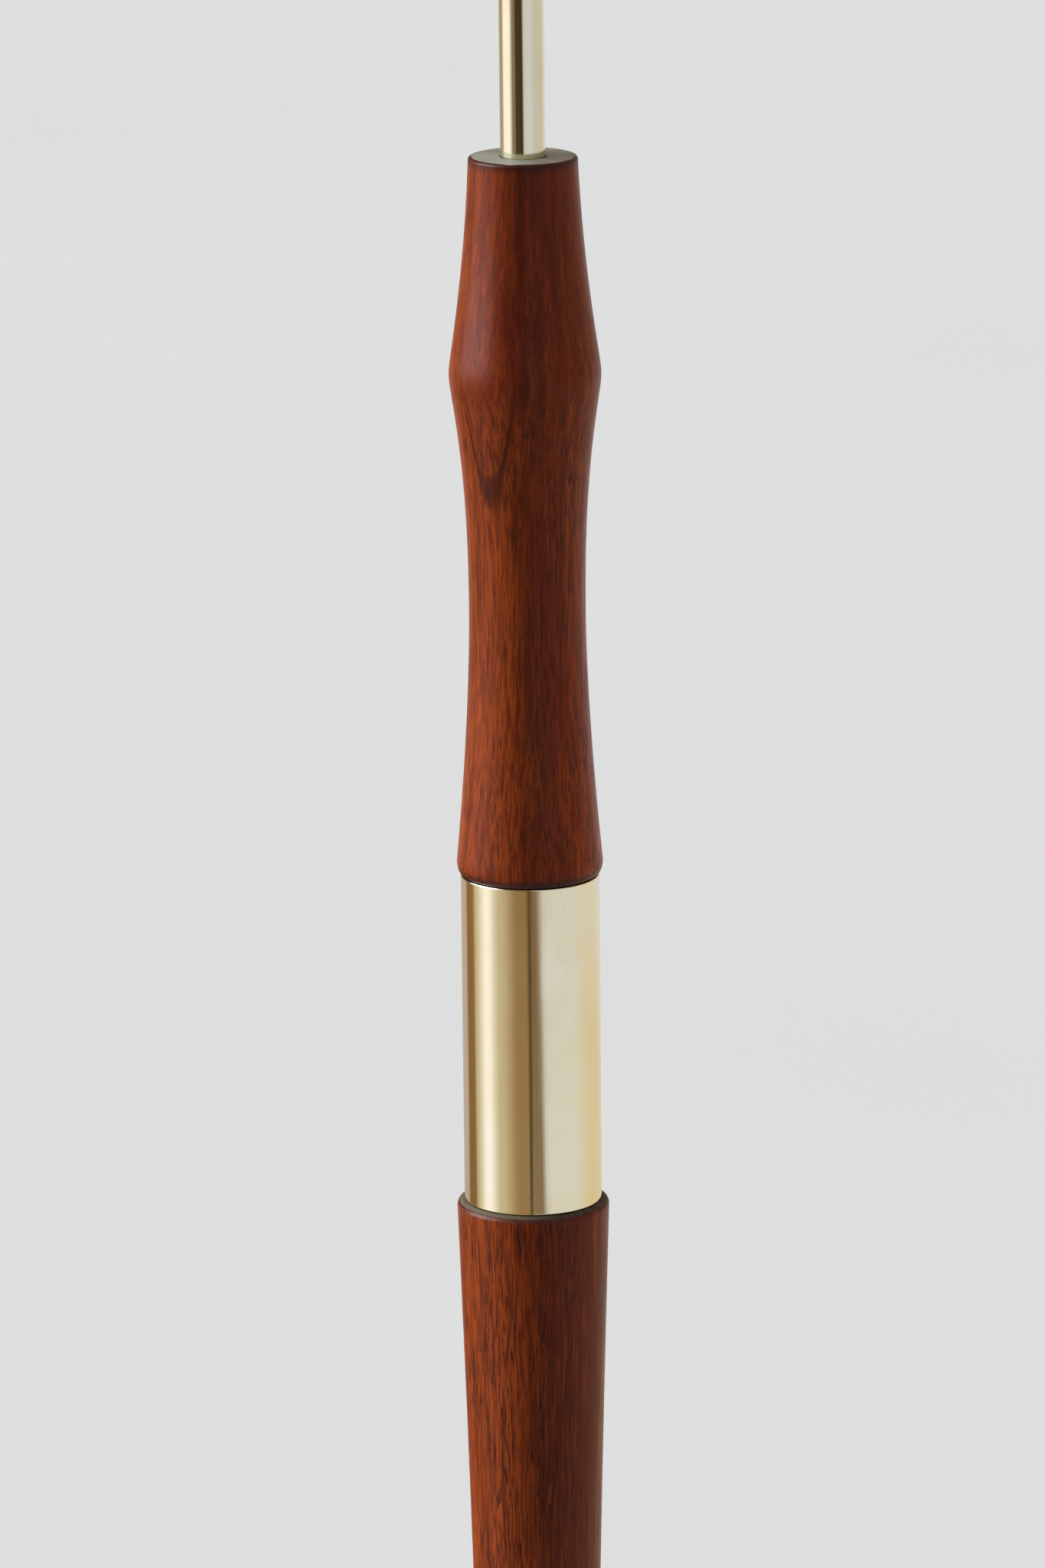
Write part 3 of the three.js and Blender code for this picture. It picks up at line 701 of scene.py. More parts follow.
def cup(height, neck, neck_height, bore, depth):
    """A bell over a pad: its flank narrows by 1 - sin a as it rises by 1 - cos a, up to a socketed neck."""
    bottom = PAD_HEIGHT - PAD_GRIP
    rim_top = bottom + CUP_RIM
    top = bottom + height
    neck_foot = top - neck_height
    angle = np.linspace(0, math.pi / 2, FLANK_STEPS + 1)[1:]
    radius = neck + (CUP_RADIUS - neck) * (1 - np.sin(angle))
    level = rim_top + (neck_foot - rim_top) * (1 - np.cos(angle))
    return rounded([
        (0, PAD_HEIGHT + SEAT),
        (PAD_RADIUS + SEAT, PAD_HEIGHT + SEAT),
        (PAD_RADIUS + SEAT, bottom, MOUTH_EDGE),
        (CUP_RADIUS, bottom, CUP_EDGE),
        (CUP_RADIUS, rim_top, CUP_EDGE),
        *zip(radius, level),
        (neck, top, CUP_EDGE),
        (bore, top, MOUTH_EDGE),
        (bore, top - depth),
        (0, top - depth),
    ])


def lower_wood(bottom, shoulder, top, tube_top):
    """The lower wood piece and, apart, its end: the inner half of the lip's rounding, and the spigot.

    Below the lip the radius falls to the end's by a power of the share of the way that is left.
    """
    taper_top = shoulder - LIP_HEIGHT
    share = np.linspace(0, 1, LOWER_ROWS)[1:]
    radius = LOWER_END + (LIP_RADIUS - LOWER_END) * share**LOWER_POWER
    start = bottom + WOOD_EDGE
    hole = POLE_RADIUS + WOOD_SLIP
    tie = TIE_RADIUS + SLIP
    lip = ellipse((COLLAR_RADIUS, taper_top), LIP_RADIUS - COLLAR_RADIUS, LIP_HEIGHT, 0, 1)
    side = [
        (tie, tube_top + SEAT),
        (hole, tube_top + SEAT),
        (hole, bottom, SOCKET_EDGE),
        *ellipse((LOWER_END - WOOD_EDGE, start), WOOD_EDGE, WOOD_EDGE, -1, 0),
        *zip(radius, start + (taper_top - start) * share),
        *lip[1:LIP_STEPS + 1],
    ]
    spigot = [(SPIGOT_RADIUS, shoulder), (SPIGOT_RADIUS, top), (tie, top), (tie, tube_top + SEAT)]
    return rounded(side), rounded([*lip[LIP_STEPS:], *spigot])


def upper_radius(drop, length):
    """Radius of the upper wood piece below its top.

    Above the waist it is the lower of a flare and a hollow, which meet in a ridge rounded as a hyperbola:
    half of their sum less the root of their difference squared plus the softness squared. Below the waist it
    is one hollow skirt, whose radius grows as a power of the way down.
    """
    rise = drop / RIDGE_DROP
    swell = FLARE_STRAIGHT_SHARE * rise + (1 - FLARE_STRAIGHT_SHARE) * rise**FLARE_POWER
    flare = UPPER_TOP + (APEX_RADIUS - UPPER_TOP) * swell
    up = np.abs(WAIST_DROP - drop) / (WAIST_DROP - RIDGE_DROP)
    hollow = WAIST_RADIUS + (APEX_RADIUS - WAIST_RADIUS) * up**WAIST_UP_POWER
    down = np.clip(drop - WAIST_DROP, 0, None) / (length - BASE_ROUND - WAIST_DROP)
    skirt = WAIST_RADIUS + (BASE_RADIUS - WAIST_RADIUS) * down**WAIST_DOWN_POWER
    ridge = (flare + hollow - np.hypot(flare - hollow, RIDGE_SOFTNESS)) / 2
    return np.where(drop > WAIST_DROP, skirt, ridge)


def upper_wood(bottom, shoulder, top, tube_bottom):
    """The upper wood piece, with closer points where the ridge bends, and, apart, its top end."""
    length = top - shoulder
    drop = np.concatenate([
        np.linspace(length - BASE_ROUND, RIDGE_DROP + RIDGE_REACH, SKIRT_ROWS)[1:],
        np.linspace(RIDGE_DROP + RIDGE_REACH, RIDGE_DROP - RIDGE_REACH, RIDGE_ROWS)[1:],
        np.linspace(RIDGE_DROP - RIDGE_REACH, WOOD_EDGE, FLARE_ROWS)[1:-1],
    ])
    edge = float(upper_radius(np.array(WOOD_EDGE), length)) - WOOD_EDGE
    hole = POLE_RADIUS + SLIP
    tie = TIE_RADIUS + SLIP
    side = [
        (tie, bottom),
        (SPIGOT_RADIUS, bottom),
        (SPIGOT_RADIUS, shoulder),
        *ellipse((BASE_SEAT, shoulder + BASE_ROUND), BASE_RADIUS - BASE_SEAT, BASE_ROUND, -1, 0),
        *zip(upper_radius(drop, length), top - drop),
        *ellipse((edge, top - WOOD_EDGE), WOOD_EDGE, WOOD_EDGE, 0, 1),
    ]
    socket_end = tube_bottom - SEAT
    end = [(edge, top), (hole, top, SOCKET_EDGE), (hole, socket_end), (tie, socket_end), (tie, bottom)]
    return rounded(side), rounded(end)


def grub_screw(sides):
    """A grub screw along X, with a key's socket in its outer end."""
    start = POLE_RADIUS + SEAT
    key_end = FOOT_NECK - GRUB_KEY_DEPTH
    profile = rounded([
        (0, start),
        (GRUB_RADIUS, start, MOUTH_EDGE),
        (GRUB_RADIUS, FOOT_NECK, MOUTH_EDGE),
        (GRUB_KEY, FOOT_NECK),
        (GRUB_KEY, key_end),
        (0, key_end),
    ])
    return along_x(revolve(profile, sides, hexagonal(GRUB_KEY)))


def bushing(sides):
    """The cord's bushing along Y, with its flange outside the tube."""
    bore = POLE_RADIUS - POLE_WALL
    hole = LEAD_RADIUS + SLIP
    seat = POLE_RADIUS + SEAT
    outer = POLE_RADIUS + INLET_FLANGE_HEIGHT
    profile = rounded([
        (hole, bore),
        (INLET_RADIUS, bore, MOUTH_EDGE),
        (INLET_RADIUS, seat),
        (INLET_FLANGE, seat, MOUTH_EDGE),
        (INLET_FLANGE, outer, BUSHING_EDGE),
        (hole, outer, BUSHING_EDGE),
        (hole, bore),
    ])
    return along_y(revolve(profile, sides))


def boss(sides):
    """A round boss that grows out of the hub towards X.

    Its foot lies on the hub, at x = root of the hub's radius squared less y squared, and a fillet of radius f
    carries it out: the radius is f (1 - sin a) over the boss's own as x grows by f (1 - cos a).
    """
    turn = np.arange(sides) * TAU / sides
    bend = np.linspace(0, math.pi / 2, ARC_STEPS * 2)[:, None]
    radius = BOSS_RADIUS + BOSS_FILLET * (1 - np.sin(bend)) + 0 * turn
    foot = np.sqrt(HUB_RADIUS**2 - (radius * np.sin(turn)) ** 2)
    reach = foot + BOSS_FILLET * (1 - np.cos(bend))
    nose = rounded([
        (BOSS_RADIUS, HUB_RADIUS + BOSS_FILLET), (BOSS_RADIUS, BOSS_REACH, BOSS_EDGE), (0, BOSS_REACH),
    ])
    root = np.array([[0, GROOVE_RADIUS]])
    radius = np.vstack([root[:, :1] + 0 * turn, radius, nose[1:, :1] + 0 * turn])
    reach = np.vstack([root[:, 1:] + 0 * turn, reach, nose[1:, 1:] + 0 * turn])
    return along_x(lattice(np.stack([radius * np.cos(turn), radius * np.sin(turn), reach], axis=-1)))


def chamfered(radius, low, high):
    """The outer corners of a ring whose edges are chamfered."""
    return [
        (radius - HUB_CHAMFER, low, HUB_EDGE),
        (radius, low + HUB_CHAMFER, HUB_EDGE),
        (radius, high - HUB_CHAMFER, HUB_EDGE),
        (radius - HUB_CHAMFER, high, HUB_EDGE),
    ]


def hub(height, sides):
    """The hub: a ring with chamfered edges and a groove inside for the leads, and its boss."""
    bore = POLE_RADIUS + SLIP
    half = height / 2
    groove = GROOVE_HEIGHT / 2
    profile = rounded([
        (bore, -half, MOUTH_EDGE),
        *chamfered(HUB_RADIUS, -half, half),
        (bore, half, MOUTH_EDGE),
        (bore, groove),
        (GROOVE_RADIUS, groove),
        (GROOVE_RADIUS, -groove),
        (bore, -groove),
        (bore, -half),
    ])
    return joined(revolve(profile, sides), boss(sides))


def arm(reach, sides):
    """The arm: a round bar that spreads into the root of a fork, with a cheek on each side of the tongue.

    The root's section is a superellipse, whose half widths and squareness grow along a smooth step.
    """
    slot = TONGUE_RADIUS + SLIP
    neck_from = reach - FORK_RADIUS - FORK_NECK
    share = np.linspace(0, 1, ROOT_ROWS)[:, None]
    ease = smooth_step(share)
    turn = np.arange(sides) * TAU / sides
    power = 2 / (2 + (FORK_SQUARENESS - 2) * ease)
    wide = ARM_RADIUS + (FORK_WIDTH / 2 - MOUTH_EDGE - ARM_RADIUS) * ease
    tall = ARM_RADIUS + (FORK_RADIUS - ARM_RADIUS) * ease
    across = wide * np.sign(np.sin(turn)) * np.abs(np.sin(turn)) ** power
    upward = tall * np.sign(np.cos(turn)) * np.abs(np.cos(turn)) ** power
    reach_along = neck_from + (reach - slot - neck_from) * share + 0 * turn
    centre = np.zeros(sides)
    root = lattice(np.stack([
        np.vstack([reach_along[:1], reach_along, reach_along[-1:]]),
        np.vstack([centre, across, centre]),
        np.vstack([centre, upward, centre]),
    ], axis=-1))
    inner = TONGUE_WIDTH / 2 + SLIP
    half = (FORK_WIDTH / 2 - inner) / 2
    bend = np.linspace(-math.pi / 2, math.pi / 2, sides // 2)
    nose = np.stack([FORK_RADIUS * np.cos(bend), FORK_RADIUS * np.sin(bend)], axis=-1)
    tail = np.array([[-slot - HUB_EDGE, FORK_RADIUS], [-slot - HUB_EDGE, -FORK_RADIUS]])
    cheek = along_y(plate(np.vstack([nose, tail]), half, FORK_EDGE))
    rod = revolve(bar(ARM_RADIUS, GROOVE_RADIUS + SEAT, neck_from + ARM_RADIUS / 2, MOUTH_EDGE), sides)
    cheeks = [shifted(cheek, x=reach, y=side * (inner + half)) for side in (1, -1)]
    return joined(along_x(rod), root, *cheeks)


def knob(radius, low, high):
    """The profile of a fluted head with a dished face."""
    return rounded([
        (0, low),
        (radius, low, SCREW_EDGE),
        (radius, high, SCREW_EDGE),
        (radius * DISH_SHARE, high, MOUTH_EDGE),
        (radius * DISH_SHARE - DISH_DEPTH, high - DISH_DEPTH),
        (0, high - DISH_DEPTH),
    ])


def thumb_screw(radius, low, head_low):
    """A plain shaft with a fluted head."""
    sides = FLUTES * SIDES_PER_FLUTE
    flutes = fluted(FLUTES, FLUTE_DEPTH_SHARE, SCREW_HEAD)
    head = revolve(knob(SCREW_HEAD, head_low, head_low + SCREW_HEAD_HEIGHT), sides, flutes)
    shaft = revolve(bar(radius, low, head_low + SCREW_HEAD_HEIGHT / 2, MOUTH_EDGE), sides // 2)
    return joined(shaft, head)


def tongue(stud_low, sides):
    """The tongue between the cheeks of the fork, with its neck, flange and stud below."""
    barrel = along_y(revolve(bar(TONGUE_RADIUS, -TONGUE_WIDTH / 2, TONGUE_WIDTH / 2, TONGUE_EDGE), sides))
    foot = rounded([
        (0, stud_low),
        (STUD_RADIUS, stud_low, MOUTH_EDGE),
        (STUD_RADIUS, -FLANGE_DROP - FLANGE_HEIGHT),
        (FLANGE_RADIUS, -FLANGE_DROP - FLANGE_HEIGHT, TONGUE_EDGE),
        (FLANGE_RADIUS, -FLANGE_DROP, TONGUE_EDGE),
        (NECK_RADIUS, -FLANGE_DROP, FLANGE_HEIGHT),
        (NECK_RADIUS, -TONGUE_RADIUS / 2),
        (0, -TONGUE_RADIUS / 2),
    ])
    return joined(barrel, revolve(foot, sides))


def holder(low, high, sides):
    """The spun brass cup that covers the socket."""
    inner = HOLDER_RADIUS - HOLDER_WALL
    hole = STUD_RADIUS + SLIP
    profile = rounded([
        (hole, high - HOLDER_WALL),
        (inner, high - HOLDER_WALL, HOLDER_ROUND - HOLDER_WALL),
        (inner, low, MOUTH_EDGE),
        (HOLDER_RADIUS, low, HOLDER_EDGE),
        (HOLDER_RADIUS, high, HOLDER_ROUND),
        (hole, high, MOUTH_EDGE),
        (hole, high - HOLDER_WALL),
    ])
    return revolve(profile, sides)


def socket(low, high, collar_low, shell_top, sides):
    """The moulded socket and, apart, the threaded brass shell inside it."""
    body = HOLDER_RADIUS - HOLDER_WALL - SEAT
    stud = STUD_RADIUS + SLIP
    shoulder = high - (HOLDER_ROUND - HOLDER_WALL)
    thread = np.linspace(low, collar_low, THREAD_ROWS)[1:-1]
    moulded = rounded([
        (SHELL_RADIUS, low),
        (THREAD_RADIUS, low, MOUTH_EDGE),
        *((THREAD_RADIUS, height) for height in thread),
        (THREAD_RADIUS, collar_low),
        (body, collar_low, MOUTH_EDGE),
        (body, shoulder),
        (HOLDER_RADIUS - HOLDER_ROUND, high),
        (stud, high),
        (stud, high - STUD_SOCKET),
        (0, high - STUD_SOCKET),
    ])
    outer_thread = threaded(THREAD_PITCH, THREAD_DEPTH, THREAD_RADIUS, low, collar_low)
    bore = np.linspace(shell_top, low, SHELL_ROWS)
    shell = np.array([(0, shell_top), *((SHELL_RADIUS, height) for height in bore)], float)
    inner_thread = threaded(SHELL_PITCH, SHELL_DEPTH, SHELL_RADIUS, low + SHELL_PITCH, shell_top)
    return revolve(moulded, sides, outer_thread), revolve(shell, sides, inner_thread)


def switch_key(drop, sides):
    """A paddle on a short shaft, pointing along Y.

    Its outline runs straight from the shaft to touch a circle. The shaft starts just outside the cup, inside
    a bead that hides its end.
    """
    bead_foot = HOLDER_RADIUS + SEAT
    blade_foot = bead_foot + KEY_BEAD_HEIGHT + KEY_REACH
    radius = KEY_WIDTH / 2
    centre = KEY_LENGTH - radius
    distance = math.hypot(centre, KEY_SHAFT)
    touch = math.asin(radius / distance) - math.atan2(centre, KEY_SHAFT)
    bend = np.linspace(touch, math.pi - touch, sides)
    paddle = np.stack([radius * np.cos(bend), centre + radius * np.sin(bend)], axis=-1)
    foot = np.array([[-KEY_SHAFT, 0], [KEY_SHAFT, 0]])
    blade = along_x(plate(np.vstack([paddle, foot]), KEY_THICKNESS / 2, KEY_EDGE))
    shaft = revolve(bar(KEY_SHAFT, HOLDER_RADIUS + SEAT / 3, blade_foot + KEY_LENGTH / 2, 0), sides)
    bead = revolve(bar(KEY_BEAD, bead_foot, bead_foot + KEY_BEAD_HEIGHT, TONGUE_EDGE), sides)
    return shifted(joined(along_y(shaft), along_y(bead), shifted(blade, y=blade_foot)), z=drop)


def vented_sector(hole, rim, top, bottom, sides):
    """One sector of the shade's crown, with a vent in its middle.

    The sector's border runs round its outer arc, in along one side, back along its inner arc and out again.
    The surface closes in from the border to the vent along straight lines, goes down through the vent, and
    opens out to the border again on the underside.
    """
    sector = TAU / VENTS
    arc = np.linspace(0, sector, sides // VENTS + 1)
    inwards = np.linspace(rim, hole, VENT_SIDE_STEPS + 1)[:-1]
    outwards = np.linspace(hole, rim, VENT_SIDE_STEPS + 1)[:-1]
    radius = np.concatenate([np.full(len(arc) - 1, rim), inwards, np.full(len(arc) - 1, hole), outwards])
    far, near = np.full(len(inwards), sector), np.zeros(len(outwards))
    angle = np.concatenate([arc[:-1], far, arc[:0:-1], near])
    border = np.stack([radius * np.cos(angle), radius * np.sin(angle)], axis=-1)
    vent = VENT_CIRCLE * np.array([math.cos(sector / 2), math.sin(sector / 2)])
    out = border - vent
    edge = vent + out / np.hypot(*out.T)[:, None] * VENT_RADIUS
    face = border + (edge - border) * np.reshape(VENT_ROW_SHARES, (-1, 1, 1))
    over = np.concatenate([at_height(face, top), at_height(edge[None], bottom)])
    return lattice(over), lattice(at_height(face[::-1], bottom))


def shade(low, high, sides):
    """The shade's outside and inside: a vented crown, a flank that widens as a power, and a rolled rim."""
    mouth = low + RIM_RADIUS
    flank_top = high - CROWN_ROUND
    inside = high - SHADE_WALL
    hole = THREAD_RADIUS + SEAT
    rim = CROWN_RADIUS - CROWN_ROUND
    share = np.linspace(0, 1, SHADE_ROWS)
    flank = CROWN_RADIUS + (MOUTH_RADIUS - CROWN_RADIUS) * share**SHADE_POWER
    level = flank_top + (mouth - flank_top) * share
    round_inside = CROWN_ROUND - SHADE_WALL
    inner = [
        *ellipse((rim, flank_top), round_inside, round_inside, 1, 0),
        *zip(flank[1:] - SHADE_WALL, level[1:]),
        (MOUTH_RADIUS - RIM_RADIUS, mouth),
    ]
    outer = [
        *ellipse((MOUTH_RADIUS, mouth), RIM_RADIUS, RIM_RADIUS, -2, 1, ARC_STEPS * 4),
        *zip(flank[-2:0:-1], level[-2:0:-1]),
        *ellipse((rim, flank_top), CROWN_ROUND, CROWN_ROUND, 0, 1),
    ]
    over, under = (
        [swung(face, i * TAU / VENTS) for i in range(VENTS)]
        for face in vented_sector(hole, rim, high, inside, sides)
    )
    bore = revolve(np.array([[hole, high], [hole, inside]]), sides)
    outside = joined(revolve(np.array(outer), sides), bore, *over)
    return outside, joined(revolve(np.array(inner), sides), *under)


def bulb(low, high, sides):
    """The frosted bulb and, apart, its threaded cap. A curve leads from the ball to the neck."""
    glass_top = high - CAP_HEIGHT
    centre = low + BULB_RADIUS
    ball = ellipse((0, centre), BULB_RADIUS, BULB_RADIUS, -1, BULB_SHOULDER / (math.pi / 2), ARC_STEPS * 6)
    end = np.array(ball[-1])
    slope = np.array([-math.sin(BULB_SHOULDER), math.cos(BULB_SHOULDER)])
    pull = (glass_top - end[1]) / 2
    collar = (BULB_NECK, glass_top)
    neck = curve(end, end + slope * pull, (BULB_NECK, glass_top - pull), collar, ARC_STEPS * 3)
    glass = revolve(np.vstack([ball, neck[1:], [[0, glass_top]]]), sides)
    thread = np.linspace(glass_top, high - CAP_RADIUS / 3, SHELL_ROWS)
    cap = rounded([
        (0, glass_top),
        *((CAP_RADIUS, height) for height in thread),
        (CAP_RADIUS / 3, high - MOUTH_EDGE, MOUTH_EDGE),
        (CAP_RADIUS / 3, high, MOUTH_EDGE),
        (0, high),
    ])
    screw = threaded(SHELL_PITCH, SHELL_DEPTH * 2, CAP_RADIUS, glass_top + SHELL_PITCH / 2, thread[-1])
    return glass, revolve(cap, sides, screw)


def lock_collar(low, high, step, sides):
    """The lock collar: it covers the end of the upper tube, and its bore is narrower above that step."""
    bore = EXTENSION_RADIUS + SLIP
    profile = rounded([
        (bore, step),
        (POLE_RADIUS + SEAT, step),
        (POLE_RADIUS + SEAT, low, MOUTH_EDGE),
        *chamfered(LOCK_RADIUS, low, high),
        (bore, high, MOUTH_EDGE),
        (bore, step),
    ])
    return revolve(profile, sides)


def end_cap(low, high, sides):
    """The cap on the extension tube's end, with a hole for the plunger."""
    bore = EXTENSION_RADIUS + SLIP
    hole = PLUNGER_RADIUS + SLIP
    end = high - CAP_PLATE + SEAT
    profile = rounded([
        (hole, end),
        (bore, end),
        (bore, low, MOUTH_EDGE),
        (bore + CAP_WALL, low, MOUTH_EDGE),
        (bore + CAP_WALL, high, STOP_EDGE),
        (hole, high, MOUTH_EDGE),
        (hole, end),
    ])
    return revolve(profile, sides)


def plunger(low, high, sides):
    """The plunger: a rod with a flange at its foot, which the spring pushes."""
    flange_top = low + PLUNGER_FLANGE_HEIGHT
    profile = rounded([
        (0, low),
        (PLUNGER_FLANGE, low, MOUTH_EDGE),
        (PLUNGER_FLANGE, flange_top, MOUTH_EDGE),
        (PLUNGER_RADIUS, flange_top),
        (PLUNGER_RADIUS, high, MOUTH_EDGE),
        (0, high),
    ])
    return revolve(profile, sides)


def spring(low, high):
    """The spring: a round wire along a helix with closed ends, ground flat.

    The rise of each turn grows along a smooth step from one wire at the ends to the open pitch between, which
    is chosen so that the wire fills the height. The section is carried on the axis of the coil.
    """
    steps = SPRING_TURNS * SPRING_STEPS
    turn = np.linspace(0, SPRING_TURNS, steps + 1)
    near_end = np.clip(np.minimum(turn, SPRING_TURNS - turn) / CLOSED_TURNS, 0, 1)
    openness = smooth_step(near_end)
    closed_rise = 2 * SPRING_WIRE
    grown = np.concatenate([[0], np.cumsum((openness[1:] + openness[:-1]) / 2)]) / SPRING_STEPS
    left = SPRING_WIRE * GROUND_SHARE
    open_rise = (high - low - 2 * left - closed_rise * SPRING_TURNS) / grown[-1]
    height = low + left + closed_rise * turn + open_rise * grown
    angle = turn * TAU
    outward = np.stack([np.cos(angle), np.sin(angle), 0 * angle], axis=-1)
    line = outward * SPRING_RADIUS + np.stack([0 * angle, 0 * angle, height], axis=-1)
    along = np.gradient(line, axis=0)
    along /= np.linalg.norm(along, axis=1)[:, None]
    side = np.cross(along, outward)
    section = np.arange(SPRING_SIDES) * TAU / SPRING_SIDES
    wire = np.concatenate([[0], np.full(steps + 1, float(SPRING_WIRE)), [0]])[:, None, None]
    pick = np.concatenate([[0], np.arange(steps + 1), [steps]])
    grid = line[pick][:, None] + wire * (
        outward[pick][:, None] * np.cos(section)[:, None] + side[pick][:, None] * np.sin(section)[:, None]
    )
    grid[..., 2] = np.clip(grid[..., 2], low, high)
    return lattice(grid)


# Finishes


class Nodes:
    """Builds a node tree: inputs go by name or number, and take a value, a node or one of its outputs."""

    def __init__(self, tree):
        self.tree = tree
        self.tree.nodes.clear()

    def node(self, kind, inputs=None, **settings):
        """Adds a node with its settings, and links or fills its inputs."""
        made = self.tree.nodes.new("ShaderNode" + kind)
        for setting, value in settings.items():
            setattr(made, setting, value)
        for socket_name, value in (inputs or {}).items():
            if isinstance(value, bpy.types.Node):
                value = value.outputs[0]
            if isinstance(value, bpy.types.NodeSocket):
                self.tree.links.new(value, made.inputs[socket_name])
            else:
                made.inputs[socket_name].default_value = value
        return made

    def math(self, operation, first, second=0.0):
        return self.node("Math", {0: first, 1: second}, operation=operation)

    def times(self, first, second):
        return self.math("MULTIPLY", first, second)

    def plus(self, first, second):
        return self.math("ADD", first, second)

    def vector(self, operation, first, second=(0, 0, 0)):
        return self.node("VectorMath", {0: first, 1: second}, operation=operation)

    def smooth(self, value, low, high, start=0.0, end=1.0):
        """A smooth step from start to end as a value goes from low to high."""
        inputs = {"Value": value, "From Min": low, "From Max": high, "To Min": start, "To Max": end}
        return self.node("MapRange", inputs, interpolation_type="SMOOTHSTEP")

    def mixed(self, share, first, second):
        """The first colour, with a share of the second in it."""
        first, second = (
            tint if isinstance(tint, bpy.types.NodeSocket) else (*tint, 1) for tint in (first, second)
        )
        return self.node("Mix", {0: share, 6: first, 7: second}, data_type="RGBA").outputs[2]


class Finish(Nodes):
    """A material whose patterns follow Object coordinates."""

    def __init__(self, name):
        self.material = bpy.data.materials.new(name)
        self.material.use_nodes = True
        super().__init__(self.material.node_tree)
        self.place = self.node("TexCoord").outputs["Object"]

    def noise(self, across, along, detail=2.0, roughness=0.5, offset=0.0):
        """Noise with so many cells per millimetre across Z and along it."""
        scale = (across / MM, across / MM, along / MM)
        where = self.node("Mapping", {"Vector": self.place, "Scale": scale, "Location": (offset,) * 3})
        inputs = {"Vector": where, "Scale": 1.0, "Detail": detail, "Roughness": roughness}
        return self.node("TexNoise", inputs)

    def towards(self, turn):
        """How squarely a side faces a direction, as the cosine of the turn between them round Z."""
        outward = self.vector("NORMALIZE", self.vector("MULTIPLY", self.place, (1, 1, 0)))
        return self.vector("DOT_PRODUCT", outward, (-math.sin(turn), -math.cos(turn), 0)).outputs[1]

    def rough(self, grain, smoothest, roughest):
        """A roughness that rises with a noise."""
        return self.smooth(grain, *NOISE_SPAN, smoothest, roughest)

    def bump(self, height, depth):
        """A bump of so many millimetres."""
        return self.node("Bump", {"Height": height, "Distance": depth * MM, "Strength": 1.0})

    def surface(self, **sockets):
        """Ends the tree in a principled shader, with its sockets by name."""
        titles = (name.replace("_", " ").title().replace("Ior", "IOR") for name in sockets)
        shader = self.node("BsdfPrincipled", dict(zip(titles, sockets.values())))
        self.node("OutputMaterial", {"Surface": shader})
        return self.material


def dimmed(tint, share):
    """A share of a colour's light."""
    return tuple(share * value for value in tint)


def growth_rings(finish, pith, pitch, offset):
    """Distance from the pith in millimetres, swayed by slow waves, and how far each ring is late wood.

    The number of a ring is the distance over the pitch, and its fraction says how far the ring has grown.
    Late wood comes on along a smooth step and ends sharply, and each ring has its own strength of it.
    """
    flat = finish.node("Mapping", {"Vector": finish.place, "Location": pith, "Scale": (1 / MM, 1 / MM, 0)})
    waves = finish.noise(0.05, 0.012, detail=2, offset=offset).outputs[1]
    sway = finish.vector("SUBTRACT", waves, (0.5, 0.5, 0.5))
    sway = finish.vector("MULTIPLY", sway, (RING_SWAY, RING_SWAY, 0))
    distance = finish.vector("LENGTH", finish.vector("ADD", flat, sway)).outputs[1]
    count = finish.times(distance, 1 / pitch)
    within = finish.math("FRACT", count)
    each = finish.node("TexWhiteNoise", {"W": finish.math("FLOOR", count)}, noise_dimensions="1D")
    late = finish.times(finish.smooth(within, 0.2, 0.85), finish.smooth(within, 1.0, 0.9))
    late = finish.times(late, finish.smooth(each, 0.4, 1.0, 0.1, 0.6))
    fading = finish.noise(0.06, 0.03, detail=1, offset=offset + 17)
    return distance, finish.times(late, finish.smooth(fading, 0.35, 0.6, 0.25, 1.0))


